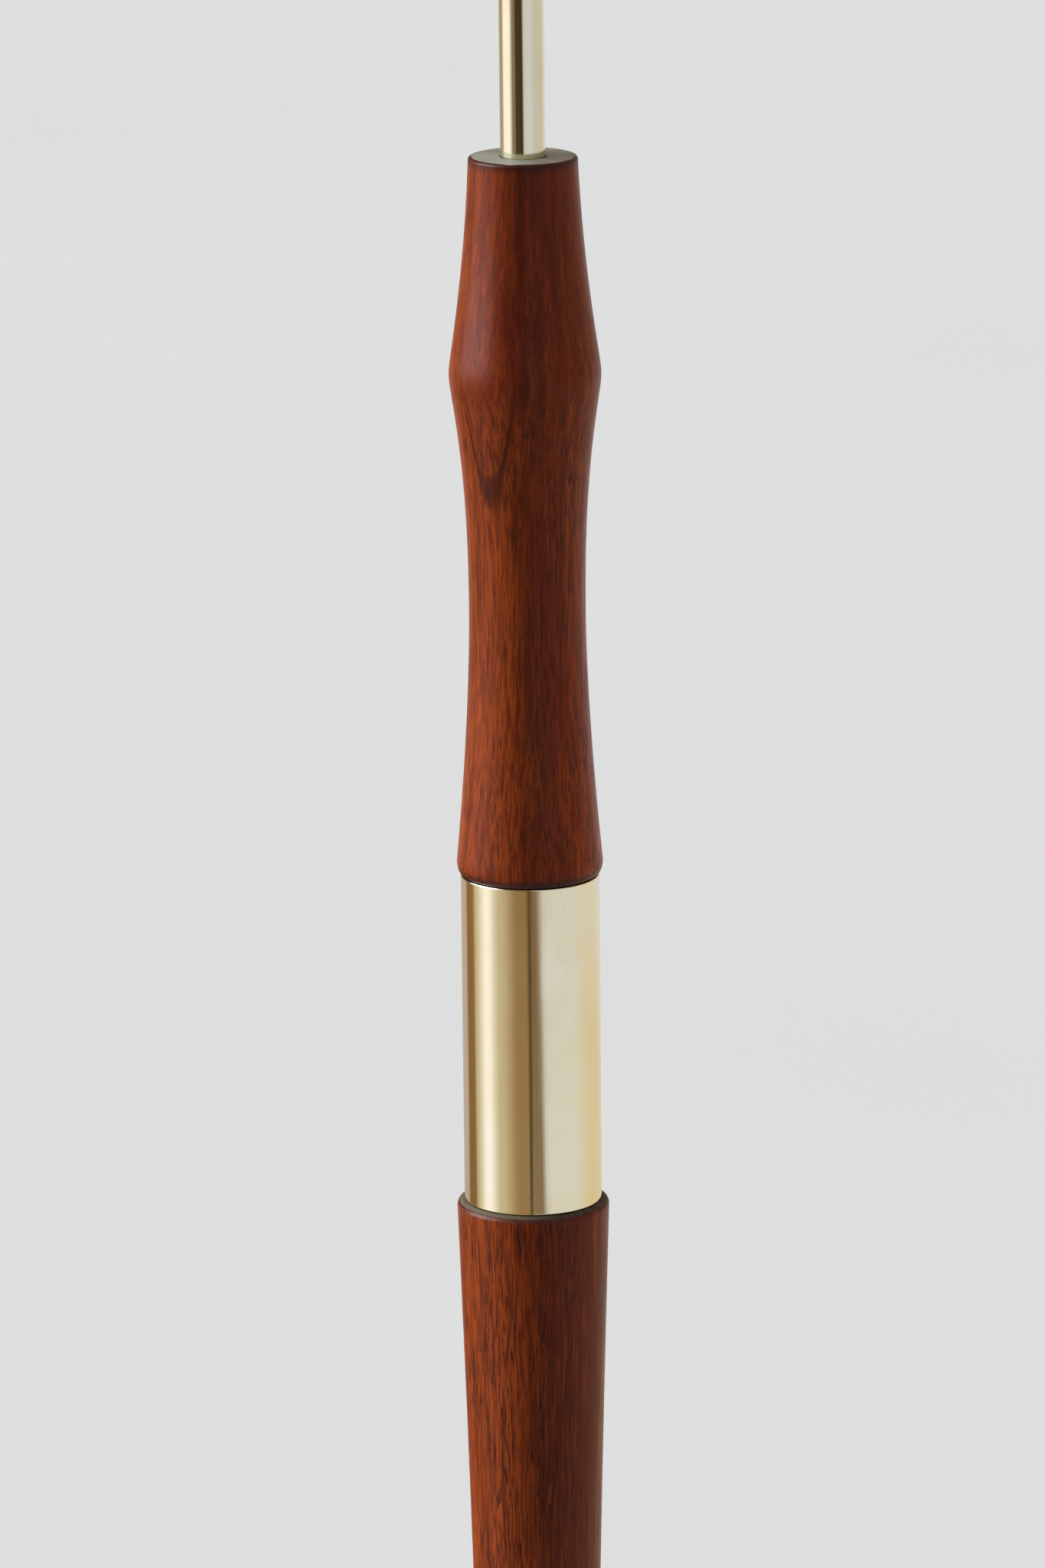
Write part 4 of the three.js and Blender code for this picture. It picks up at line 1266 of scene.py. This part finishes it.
def turned_wood(
    name, pith_turn, pith_reach, marks, marked_span, coarse_turn, painted_shade_depth, far_side_shade, dark_ends_and_shade, quiet, offset
):
    """Oiled red-brown wood.

    Growth rings are upright shells about a pith outside the piece, so that they close in arches where the
    piece swells towards it. Marks are single dark rings within a span of heights, by their distance from the
    axis. Patches, streaks and pores are noises drawn out along the grain, and the pores are coarsest on one
    side. Light and shade are painted into the colour by the cosine of the turn from the side that faces the
    light: painted light makes the wood palest towards it, painted shade darkens it away from it, where the
    bands show, and more painted shade darkens its far side. It is dark at its cut end, painted darker as
    shade where it meets the collar, and calmer past some heights.
    """
    look = bpy.context.scene.pole_lamp_wood
    finish = Finish(name)
    height = finish.node("SeparateXYZ", {0: finish.place}).outputs["Z"]
    pith = (-math.sin(pith_turn) * pith_reach, math.cos(pith_turn) * pith_reach, 0)
    distance, late = growth_rings(finish, pith, look.ring_pitch, offset)
    marked = 0.0
    for radius, strength in marks:
        off = finish.math("ABSOLUTE", finish.math("SUBTRACT", distance, pith_reach - radius))
        marked = finish.math("MAXIMUM", marked, finish.smooth(off, 0.7, 0.15, 0.0, strength))
    for clear, full in marked_span:
        marked = finish.times(marked, finish.smooth(height, clear * MM, full * MM))

    # Painted light and shade: how squarely a point faces the light sets the painted shade away from it, where
    # the bands also show, and the painted light towards it
    facing_light = finish.towards(LIT_SIDE_TURN)
    painted_shade = finish.smooth(facing_light, 0.96, 0.45)
    lively = 1.0
    for full, calm in quiet:
        lively = finish.smooth(height, full * MM, calm * MM, 1.0, 0.0)
    pale = finish.times(lively, finish.smooth(facing_light, 0.2, 0.97, 0.08, 0.45))

    patches = finish.noise(0.04, 0.014, detail=3, offset=offset + 11)
    streaks = finish.noise(0.35, 0.012, detail=3, roughness=0.6, offset=offset + 7)
    fibres = finish.noise(1.2, 0.05, detail=3, roughness=0.6, offset=offset)
    pore_field = finish.noise(1.5, 0.11, detail=2, roughness=0.55, offset=offset + 5)
    clusters = finish.noise(0.12, 0.03, detail=1, offset=offset + 13)
    stripes = finish.noise(0.1, 0.004, detail=1, offset=offset + 23)
    coarse = finish.smooth(finish.towards(coarse_turn), -0.5, 0.8)
    pores = finish.times(finish.smooth(pore_field, 0.51, 0.61), finish.smooth(clusters, 0.35, 0.6, 0.5, 1.0))
    pores = finish.times(pores, finish.smooth(coarse, 0.0, 1.0, 0.65, 1.0))
    pores = finish.times(pores, finish.smooth(lively, 0.0, 1.0, 0.5, 1.0))
    flecks = finish.times(finish.smooth(fibres, 0.46, 0.36, 0.0, 0.5), finish.times(coarse, lively))
    bands = finish.times(finish.smooth(stripes, 0.45, 0.6), painted_shade)

    tint = finish.mixed(finish.smooth(patches, 0.35, 0.65), look.middle, look.light)
    for share, laid_over in (
        # Painted shade away from the light, and more painted shade on the far side
        (finish.times(painted_shade, painted_shade_depth), PAINTED_SHADE_WOOD),
        (finish.smooth(facing_light, 0.6, -0.1, 0.0, far_side_shade), PAINTED_FAR_SIDE_SHADE),
        (finish.times(bands, 0.3), BANDED_WOOD),
        (finish.smooth(lively, 1.0, 0.0, 0.0, 0.14), CALM_WOOD),
        # Painted light on the side that faces the light
        (pale, PAINTED_LIGHT_WOOD),
        (finish.smooth(streaks, 0.48, 0.30, 0.0, 0.40), look.light),
        (finish.smooth(streaks, 0.46, 0.66, 0.0, 0.6), look.dark),
        (finish.smooth(fibres, 0.46, 0.61, 0.0, 0.65), look.dark),
        (finish.times(late, 0.55), look.dark),
        (flecks, look.light),
        (finish.times(marked, 0.85), MARKED_WOOD),
        (finish.times(pores, 0.8), PORE_WOOD),
        # Dark end grain at the top, and painted shade where the wood meets the collar
        *((finish.smooth(height, clear * MM, cut * MM, 0.0, 0.75), CUT_END_AND_SHADE_WOOD) for clear, cut in dark_ends_and_shade),
    ):
        tint = finish.mixed(share, tint, laid_over)
    relief = finish.math("SUBTRACT", finish.times(fibres, FIBRE_RELIEF_SHARE), pores)
    return finish.surface(
        base_color=tint,
        roughness=finish.rough(fibres, look.roughness - 0.04, look.roughness + 0.06),
        specular_ior_level=0.13,
        normal=finish.bump(relief, 0.05),
    )


def upper_wood_finish(name):
    """The upper piece, with arches on its front left."""
    shoulder, top = heights("collar")[1] + SEAT, heights("upper_wood")[1]
    # Dark end grain below the top, and painted shade on the base round just above the collar
    ends = (
        (top - WOOD_EDGE * 3.5, top - WOOD_EDGE * 0.7),
        (shoulder + BASE_ROUND * 0.8, shoulder + BASE_ROUND * 0.3),
    )
    marks = ((22.95, 0.9), (23.9, 0.35))
    waist, ridge = top - WAIST_DROP, top - RIDGE_DROP
    span = ((ridge + 5, ridge - 20), (waist, waist + 20))
    quiet = ((ridge - 25, ridge + 5),)
    coarse = LIT_SIDE_TURN + math.pi
    return turned_wood(name, math.radians(-34), 62, marks, span, coarse, 0.55, 0.0, ends, quiet, 2.0)


def lower_wood_finish(name):
    """The lower piece, from straighter wood."""
    shoulder = heights("collar")[0] - SEAT
    # Painted shade on the lip just below the collar
    ends = ((shoulder - LIP_HEIGHT * 1.2, shoulder - LIP_HEIGHT * 0.3),)
    return turned_wood(name, math.radians(70), 90, (), (), LIT_SIDE_TURN, 0.62, 0.65, ends, (), 31.0)


def cut_wood(name, pale, dark, lit_side_tint, sheen):
    """Waxed wood cut across its grain: olive brown with fine pores, and paler as painted light on the side
    facing the light.
    """
    finish = Finish(name)
    pores = finish.noise(1.6, 1.6, detail=2)
    rings = finish.noise(0.25, 0.25, detail=3)
    tint = finish.mixed(finish.smooth(rings, 0.35, 0.65), pale, dark)
    # Painted light: the side that faces the light is painted paler
    tint = finish.mixed(finish.smooth(finish.towards(LIT_SIDE_TURN), 0.1, 1.0), tint, lit_side_tint)
    tint = finish.mixed(finish.smooth(pores, 0.58, 0.68, 0.0, 0.5), tint, dimmed(dark, 0.4))
    return finish.surface(
        base_color=tint,
        roughness=finish.rough(pores, 0.58, 0.7),
        specular_ior_level=sheen,
        normal=finish.bump(pores, 0.01),
    )


def polished_brass(name, across, along):
    """Polished brass under lacquer.

    It has faint marks left by drawing or turning, slow waves in its surface, specks and slow changes of tone.
    """
    look = bpy.context.scene.pole_lamp_brass
    finish = Finish(name)
    marks = finish.noise(across, along, detail=3, roughness=0.6)
    waves = finish.noise(0.016, 0.012, detail=1)
    clouds = finish.noise(0.03, 0.02, detail=3, roughness=0.6)
    specks = finish.noise(0.9, 0.9, detail=1, offset=9)
    tint = finish.mixed(finish.smooth(clouds, 0.35, 0.75, 0.0, 0.5), look.clean, look.dull)
    tint = finish.mixed(finish.smooth(specks, 0.73, 0.79, 0.0, 0.3), tint, BRASS_SPECK)
    polish = finish.rough(marks, look.roughness - 0.02, look.roughness + 0.02)
    return finish.surface(
        base_color=tint,
        metallic=1.0,
        roughness=finish.plus(polish, finish.smooth(clouds, 0.4, 0.8, 0.0, 0.04)),
        coat_weight=0.1,
        coat_roughness=0.1,
        normal=finish.bump(finish.plus(finish.times(waves, BRASS_WAVES), marks), 0.002),
    )


def enamel(name, side, roughness):
    """Stove enamel: a faint orange peel, slow clouds and a few specks of dust."""
    tint = getattr(bpy.context.scene.pole_lamp_enamel, side)
    finish = Finish(name)
    peel = finish.noise(0.55, 0.55, detail=2)
    clouds = finish.noise(0.02, 0.02, detail=3)
    dust = finish.noise(1.7, 1.7, detail=1, offset=4)
    clouded = finish.mixed(finish.smooth(clouds, 0.35, 0.7, 0.0, 0.6), tint, dimmed(tint, 0.9))
    return finish.surface(
        base_color=finish.mixed(finish.smooth(dust, 0.74, 0.78, 0.0, 0.5), clouded, dimmed(tint, 0.45)),
        roughness=finish.rough(peel, roughness - 0.04, roughness + 0.06),
        specular_ior_level=0.1,
        normal=finish.bump(peel, 0.02),
    )


def plain(name, patches, spread, first, second, grain, roughness, relief=0.0, **sockets):
    """One substance in two tints: patches of the second over a span of a noise, and a grain.

    A noise is (cells per millimetre across Z, along it, detail, roughness). Where the grain rises, the
    surface is rougher, and it stands out by so many millimetres.
    """
    finish = Finish(name)
    fine = finish.noise(*grain)
    if relief:
        sockets["normal"] = finish.bump(fine, relief)
    return finish.surface(
        base_color=finish.mixed(finish.smooth(finish.noise(*patches), *spread), first, second),
        roughness=finish.rough(fine, *roughness),
        **sockets,
    )


def phenolic(name):
    """Moulded phenolic: near black, with brown swirls in the moulding."""
    swirls, grain = (0.12, 0.12, 3, 0.65), (1.5, 1.5)
    black, brown = (0.014, 0.010, 0.008), (0.032, 0.017, 0.010)
    return plain(name, swirls, (0.45, 0.7), black, brown, grain, (0.26, 0.4), 0.008)


def moulded_rubber(name):
    """Rubber with a fine matt grain and paler scuffs."""
    scuffs, grain = (0.3, 0.3, 4, 0.7), (2.2, 2.2)
    black, scuffed = (0.016, 0.016, 0.015), (0.045, 0.043, 0.040)
    return plain(name, scuffs, (0.5, 0.75), black, scuffed, grain, (0.62, 0.82), 0.03)


def nickel(name):
    """The bulb's plated cap, with a slow stain."""
    stain = (0.2, 0.2, 3)
    bright, stained = (0.72, 0.70, 0.66), (0.58, 0.55, 0.50)
    return plain(name, stain, (0.4, 0.7), bright, stained, stain, (0.2, 0.34), metallic=1.0)


def frosted_glass(name):
    """The bulb's inside-frosted glass, which reads as milk white with a clear gloss over it."""
    frost, grain = (0.05, 0.05, 3), (3.0, 3.0, 1)
    white, milky = (0.88, 0.87, 0.84), (0.82, 0.82, 0.80)
    gloss = {"coat_weight": 1.0, "coat_roughness": 0.04}
    return plain(name, frost, (0.35, 0.7), white, milky, grain, (0.32, 0.42), **gloss)


def lead_jacket(name):
    """The jacket of the lead inside the pole, rubbed along its length."""
    rub = (0.6, 0.05, 3)
    black, rubbed = (0.022, 0.019, 0.016), (0.040, 0.035, 0.030)
    return plain(name, rub, (0.4, 0.7), black, rubbed, rub, (0.5, 0.65), 0.02)


def zinc_steel(name):
    """Zinc-plated steel: a spangled grey with fine lines."""
    finish = Finish(name)
    spangle = finish.noise(0.5, 0.5, detail=3, roughness=0.6)
    lines = finish.noise(0.2, 4.0, detail=2)
    return finish.surface(
        base_color=finish.mixed(finish.smooth(spangle, 0.35, 0.7), (0.60, 0.61, 0.62), (0.48, 0.49, 0.50)),
        metallic=1.0,
        roughness=finish.rough(spangle, 0.26, 0.4),
        normal=finish.bump(lines, 0.006),
    )


# Each finish: the function that makes it, and what that is given besides the name. The grey olive tints of the
# flat end of the upper piece are a painted reflection of the pale room on the end grain, with painted light on
# its lit side. The lip of the lower one is dark, partly as end grain and partly as painted shade next to the
# collar, with painted light on its lit side. Tube is marked along its length, and turned brass round its axis.
FINISHES = {
    "upper wood": (upper_wood_finish,),
    "lower wood": (lower_wood_finish,),
    # Grey olive tints: a painted reflection of the pale room on the end grain; the third colour is painted
    # light on the lit side
    "end grain": (cut_wood, (0.34, 0.32, 0.25), (0.28, 0.25, 0.19), (0.46, 0.45, 0.38), 0.12),
    # Dark end grain and painted shade next to the collar; the third colour is painted light on the lit side
    "lip grain": (cut_wood, (0.058, 0.040, 0.023), (0.036, 0.023, 0.013), (0.19, 0.145, 0.09), 0.2),
    "drawn brass": (polished_brass, 1.6, 0.01),
    "turned brass": (polished_brass, 0.02, 2.2),
    "enamel outside": (enamel, "outside", 0.42),
    "enamel inside": (enamel, "inside", 0.48),
    "phenolic": (phenolic,),
    "rubber": (moulded_rubber,),
    "zinc steel": (zinc_steel,),
    "nickel": (nickel,),
    "frosted glass": (frosted_glass,),
    "lead jacket": (lead_jacket,),
}


def finish_named(name):
    """The material of a finish, made when it is first asked for."""
    maker, *settings = FINISHES[name]
    return bpy.data.materials.get(name) or maker(name, *settings)


# Operators


class POLELAMP_OT_camera(Operator):
    """The camera at the photograph's angle"""

    bl_idname = "pole_lamp.camera"
    bl_label = "Camera"

    def execute(self, context):
        look = context.scene.pole_lamp_studio
        data = bpy.data.cameras.new("camera")
        data.lens = look.lens
        data.sensor_width = SENSOR_WIDTH
        camera = bpy.data.objects.new("camera", data)
        context.collection.objects.link(camera)
        aim = Euler((math.pi / 2 - look.pitch, 0, 0)).to_matrix().to_4x4()
        place = Matrix.Translation((look.sideways, -look.distance, look.height))
        camera.matrix_world = place @ aim @ Matrix.Rotation(look.roll, 4, "Z")
        context.scene.camera = camera
        return {"FINISHED"}


class POLELAMP_OT_wood(Operator):
    """The two turned wood pieces of the stem"""

    bl_idname = "pole_lamp.wood"
    bl_label = "Turned Wood"

    def execute(self, context):
        sides = context.scene.pole_lamp_shapes.stem_sides
        collar_low, collar_high = heights("collar")
        low, high = heights("lower_wood")
        side, end = lower_wood(low, collar_low - SEAT, high, heights("lower_tube")[1])
        parts = (revolve(side, sides), "lower wood"), (revolve(end, sides), "lip grain")
        stand_in("lower_wood", "pole", "wood", *parts)
        low, high = heights("upper_wood")
        side, end = upper_wood(low, collar_high + SEAT, high, heights("upper_tube")[0])
        parts = (revolve(side, sides), "upper wood"), (revolve(end, sides), "end grain")
        stand_in("upper_wood", "pole", "wood", *parts)
        return {"FINISHED"}


class POLELAMP_OT_tubes(Operator):
    """The collar and the brass tubes of the pole"""

    bl_idname = "pole_lamp.tubes"
    bl_label = "Brass Tubes"

    def execute(self, context):
        shapes = context.scene.pole_lamp_shapes
        for node, body, radius, wall, edge, sides in (
            ("collar", "pole", COLLAR_RADIUS, COLLAR_WALL, COLLAR_EDGE, shapes.stem_sides),
            ("lower_tube", "pole", POLE_RADIUS, POLE_WALL, MOUTH_EDGE, shapes.round_sides),
            ("upper_tube", "pole", POLE_RADIUS, POLE_WALL, MOUTH_EDGE, shapes.round_sides),
            ("extension_tube", "extension", EXTENSION_RADIUS, EXTENSION_WALL, MOUTH_EDGE, shapes.round_sides),
        ):
            profile = ring(radius, radius - wall, *heights(node), edge)
            stand_in(node, body, "brass", (revolve(profile, sides), "drawn brass"))
        return {"FINISHED"}


class POLELAMP_OT_foot(Operator):
    """The rubber pad, the foot cup with its grub screw, and the cord bushing"""

    bl_idname = "pole_lamp.foot"
    bl_label = "Foot"

    def execute(self, context):
        sides = context.scene.pole_lamp_shapes.round_sides
        stand_in("foot_pad", "pole", "rubber", (revolve(pad(), sides), "rubber"))
        low, high = heights("foot_cup")
        profile = cup(high - low, FOOT_NECK, FOOT_NECK_HEIGHT, POLE_RADIUS + SEAT, FOOT_SOCKET)
        stand_in("foot_cup", "pole", "brass", (revolve(profile, sides), "turned brass"))
        grub = shifted(grub_screw(sides // 2), z=middle_height("foot_set_screw"))
        stand_in("foot_set_screw", "pole", "steel", (grub, "zinc steel"))
        inlet = shifted(bushing(sides // 2), z=middle_height("cord_bushing"))
        stand_in("cord_bushing", "pole", "black_plastic", (inlet, "phenolic"))
        return {"FINISHED"}


class POLELAMP_OT_arms(Operator):
    """The stop collars, the hubs and the arms with their forks"""

    bl_idname = "pole_lamp.arms"
    bl_label = "Hubs and Arms"

    def execute(self, context):
        sides = context.scene.pole_lamp_shapes.round_sides
        for head in heads():
            stop = revolve(ring(STOP_RADIUS, POLE_RADIUS + SEAT, *head.drops("stop"), STOP_EDGE), sides)
            low, high = head.drops("hub")
            for part, body, surface in (
                ("stop", "pole", stop),
                ("hub", head.named("swivel"), hub(high - low, sides)),
                ("arm", head.named("swivel"), arm(head.reach, sides)),
            ):
                stand_in(head.named(part), body, "brass", (head.at_hub(surface), "turned brass"))
        return {"FINISHED"}


class POLELAMP_OT_tilts(Operator):
    """The tongues and tilt screws"""

    bl_idname = "pole_lamp.tilts"
    bl_label = "Tilt Joints"

    def execute(self, context):
        sides = context.scene.pole_lamp_shapes.round_sides
        for head in heads():
            head.hang("tongue", "lamp", "brass", (tongue(head.drops("tongue")[0], sides), "turned brass"))
            screw = along_y(thumb_screw(SCREW_RADIUS, -FORK_WIDTH / 2, FORK_WIDTH / 2 + SEAT))
            head.hang("tilt_screw", "screw", "brass", (screw, "turned brass"))
        return {"FINISHED"}


class POLELAMP_OT_sockets(Operator):
    """The socket cups, the lamp sockets and the switch keys"""

    bl_idname = "pole_lamp.sockets"
    bl_label = "Sockets"

    def execute(self, context):
        sides = context.scene.pole_lamp_shapes.round_sides
        for head in heads():
            low, high = head.drops("holder")
            head.hang("holder", "lamp", "brass", (holder(low, high, sides), "turned brass"))
            moulded, shell = socket(*head.drops("socket"), low, head.drops("bulb")[1] + SEAT, sides)
            head.hang("socket", "lamp", "black_plastic", (moulded, "phenolic"), (shell, "turned brass"))
            key = switch_key(sum(head.drops("switch_key")) / 2, sides // 3)
            head.hang("switch_key", "key", "black_plastic", (key, "phenolic"))
        return {"FINISHED"}


class POLELAMP_OT_shades(Operator):
    """The enamelled shades and the rings that hold them"""

    bl_idname = "pole_lamp.shades"
    bl_label = "Shades"

    def execute(self, context):
        shapes = context.scene.pole_lamp_shapes
        for head in heads():
            outside, inside = shade(*head.drops("shade"), shapes.shade_sides)
            head.hang("shade", "lamp", "enamel", (outside, "enamel outside"), (inside, "enamel inside"))
            profile = ring(RING_RADIUS, THREAD_RADIUS + SEAT, *head.drops("shade_ring"), MOUTH_EDGE)
            ribs = fluted(RING_RIBS, RING_RIB_SHARE, RING_RADIUS)
            ribbed = revolve(profile, RING_RIBS * SIDES_PER_RIB, ribs)
            head.hang("shade_ring", "lamp", "black_plastic", (ribbed, "phenolic"))
        return {"FINISHED"}


class POLELAMP_OT_bulbs(Operator):
    """The frosted bulbs and their caps"""

    bl_idname = "pole_lamp.bulbs"
    bl_label = "Bulbs"

    def execute(self, context):
        sides = context.scene.pole_lamp_shapes.round_sides
        for head in heads():
            glass, cap = bulb(*head.drops("bulb"), sides)
            head.hang("bulb", "lamp", "bulb_glass", (glass, "frosted glass"))
            piece(head.named("bulb_cap"), [(head.at_pivot(cap), "nickel")], head.named("lamp"))
        return {"FINISHED"}


class POLELAMP_OT_top(Operator):
    """The lock collar and its screw, the end cap, the plunger, the spring and the ceiling cup with its pad"""

    bl_idname = "pole_lamp.top"
    bl_label = "Sprung Top"

    def execute(self, context):
        sides = context.scene.pole_lamp_shapes.round_sides
        step = heights("upper_tube")[1] + SEAT
        collar = lock_collar(*heights("lock_collar"), step, sides)
        stand_in("lock_collar", "pole", "brass", (collar, "turned brass"))
        screw = thumb_screw(LOCK_SCREW_RADIUS, EXTENSION_RADIUS + SEAT, LOCK_RADIUS + LOCK_SCREW_NECK)
        screw = shifted(along_x(screw), z=middle_height("lock_screw"))
        stand_in("lock_screw", "locking_screw", "brass", (screw, "turned brass"))
        stand_in("end_cap", "extension", "brass", (end_cap(*heights("end_cap"), sides), "turned brass"))
        rod = plunger(*heights("plunger"), sides // 2)
        stand_in("plunger", "ceiling_foot", "steel", (rod, "zinc steel"))

        low, high = heights("spring")
        coil = stand_in("spring", "extension", "steel", (spring(low, high), "zinc steel"))
        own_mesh(coil)

        ceiling = heights("ceiling_pad")[1]
        rubber = hung(revolve(pad(), sides), ceiling)
        stand_in("ceiling_pad", "ceiling_foot", "rubber", (rubber, "rubber"))
        low, high = heights("ceiling_cup")
        profile = cup(high - low, TOP_NECK, TOP_NECK_HEIGHT, PLUNGER_RADIUS + SEAT, TOP_SOCKET)
        bell = hung(revolve(profile, sides), ceiling)
        stand_in("ceiling_cup", "ceiling_foot", "brass", (bell, "turned brass"))
        return {"FINISHED"}


class POLELAMP_OT_inner_parts(Operator):
    """Finishes for the CAD pieces inside the stem, which keep their shapes"""

    bl_idname = "pole_lamp.inner_parts"
    bl_label = "Inner Parts"

    def execute(self, context):
        kept = {
            "zinc steel": (
                "lower_tube_plug", "tie_pipe", "lower_washer", "lower_nut", "upper_nut", "upper_washer",
                "upper_tube_plug",
            ),
            "lead jacket": ("pole_lead",),
        }
        for finish, nodes in kept.items():
            for node in nodes:
                for material_slot in frame["nodes"][node].material_slots:
                    material_slot.material = finish_named(finish)
        return {"FINISHED"}


class POLELAMP_OT_studio(Operator):
    """A pale floor, a soft light from the left and the surroundings that the metal shows"""

    bl_idname = "pole_lamp.studio"
    bl_label = "Studio"

    def execute(self, context):
        look = context.scene.pole_lamp_studio
        self.floor(context, look)
        self.world(context, look)
        for name, strength, tint, elevation, azimuth in (
            ("key", look.key, (1.0, 0.98, 0.95), 6, -90),
            ("rim", look.rim, (1.0, 0.90, 0.74), 8, 102),
        ):
            data = bpy.data.lights.new(name, "SUN")
            data.energy = strength
            data.angle = SUN_WIDTH
            data.color = tint
            lamp = bpy.data.objects.new(name, data)
            context.collection.objects.link(lamp)
            lamp.rotation_euler = (math.radians(90 - elevation), 0, math.radians(azimuth))
            lamp.visible_glossy = False
        return {"FINISHED"}

    def floor(self, context, look):
        """A wide pale floor with slow clouds, which neither metal nor matt surfaces see."""
        line = np.linspace(-FLOOR_REACH, FLOOR_REACH, FLOOR_POINTS)
        grid = np.stack([*np.meshgrid(line, line), np.zeros((len(line),) * 2)], axis=-1)
        points, quads = lattice(grid, closed_columns=False)
        mesh = bpy.data.meshes.new("floor")
        mesh.from_pydata(points.tolist(), [], quads.tolist())
        finish = Finish("floor")
        clouds = finish.noise(0.0006, 0.0006, detail=3)
        tint = finish.mixed(finish.smooth(clouds, *NOISE_SPAN), look.floor, dimmed(look.floor, 0.97))
        mesh.materials.append(finish.surface(base_color=tint, roughness=1.0, specular_ior_level=0.0))
        floor = bpy.data.objects.new("floor", mesh)
        context.collection.objects.link(floor)
        floor.visible_glossy = False
        floor.visible_diffuse = False

    def world(self, context, look):
        """The cards for what shines, a plain light from all round for what is matt, and the backdrop.

        A card's share is a smooth step at each of its four sides, laid over the cards before it.
        """
        world = bpy.data.worlds.new("studio")
        world.use_nodes = True
        world.cycles.sampling_method = "NONE"
        context.scene.world = world
        nodes = Nodes(world.node_tree)
        ray = nodes.node("LightPath").outputs
        way = nodes.node("SeparateXYZ", {0: nodes.node("TexCoord").outputs["Generated"]}).outputs
        azimuth = nodes.math("ARCTAN2", way["X"], nodes.times(way["Y"], -1.0))
        elevation = nodes.math("ARCSINE", way["Z"])
        seen = look.behind
        for _, middle, half, soft, lean, low, high, soft_ends, light in CARDS:
            middle, half, soft, low, high, soft_ends = np.radians((middle, half, soft, low, high, soft_ends))
            aside = nodes.math("SUBTRACT", azimuth, middle)
            if lean:
                rise = nodes.math("SUBTRACT", elevation, math.radians(COLLAR_ELEVATION))
                aside = nodes.math("SUBTRACT", aside, nodes.times(rise, lean))
            aside = nodes.math("ABSOLUTE", aside)
            across = nodes.smooth(aside, half + soft / 2, half - soft / 2)
            above = nodes.smooth(elevation, low - soft_ends / 2, low + soft_ends / 2)
            below = nodes.smooth(elevation, high + soft_ends / 2, high - soft_ends / 2)
            seen = nodes.mixed(nodes.times(across, nodes.times(above, below)), seen, light)
        fill = nodes.smooth(elevation, *CEILING_RISE, look.low_fill, look.high_fill)
        fill = nodes.plus(fill, nodes.smooth(elevation, *FLOOR_FALL, 0.0, look.bounce))
        matte = nodes.math("MINIMUM", ray["Diffuse Depth"], 1.0)
        strength = nodes.node("Mix", {0: matte, 2: 1.0, 3: fill})
        seen = nodes.mixed(matte, seen, look.surroundings)
        seen = nodes.mixed(ray["Is Camera Ray"], seen, look.backdrop)
        background = nodes.node("Background", {"Color": seen, "Strength": strength})
        nodes.node("OutputWorld", {"Surface": background})


STEPS = (
    POLELAMP_OT_camera,
    POLELAMP_OT_wood,
    POLELAMP_OT_tubes,
    POLELAMP_OT_foot,
    POLELAMP_OT_arms,
    POLELAMP_OT_tilts,
    POLELAMP_OT_sockets,
    POLELAMP_OT_shades,
    POLELAMP_OT_bulbs,
    POLELAMP_OT_top,
    POLELAMP_OT_inner_parts,
    POLELAMP_OT_studio,
)


class POLELAMP_PT_sidebar(Panel):
    """Lists the steps of the lamp and its looks"""

    bl_idname = "POLELAMP_PT_sidebar"
    bl_label = "Tension Pole Lamp"
    bl_space_type = "VIEW_3D"
    bl_region_type = "UI"
    bl_category = "Pole Lamp"

    def draw(self, context):
        for step in STEPS:
            self.layout.operator(step.bl_idname)
        for group in LOOKS:
            look = getattr(context.scene, group)
            box = self.layout.box()
            for name in look.__annotations__:
                box.prop(look, name)


LOOKS = {
    "pole_lamp_shapes": POLELAMP_PG_shapes,
    "pole_lamp_wood": POLELAMP_PG_wood,
    "pole_lamp_brass": POLELAMP_PG_brass,
    "pole_lamp_enamel": POLELAMP_PG_enamel,
    "pole_lamp_studio": POLELAMP_PG_studio,
}
CLASSES = (*LOOKS.values(), *STEPS, POLELAMP_PT_sidebar)


def register():
    for made in CLASSES:
        bpy.utils.register_class(made)
    for name, group in LOOKS.items():
        setattr(bpy.types.Scene, name, PointerProperty(type=group))


def unregister():
    for name in LOOKS:
        delattr(bpy.types.Scene, name)
    for made in reversed(CLASSES):
        bpy.utils.unregister_class(made)


def main():
    register()
    bpy.context.scene.view_settings.view_transform = "Standard"
    bpy.ops.pole_lamp.camera()
    bpy.ops.pole_lamp.wood()
    bpy.ops.pole_lamp.tubes()
    bpy.ops.pole_lamp.foot()
    bpy.ops.pole_lamp.arms()
    bpy.ops.pole_lamp.tilts()
    bpy.ops.pole_lamp.sockets()
    bpy.ops.pole_lamp.shades()
    bpy.ops.pole_lamp.bulbs()
    bpy.ops.pole_lamp.top()
    bpy.ops.pole_lamp.inner_parts()
    bpy.ops.pole_lamp.studio()


if __name__ == "__main__":
    main()
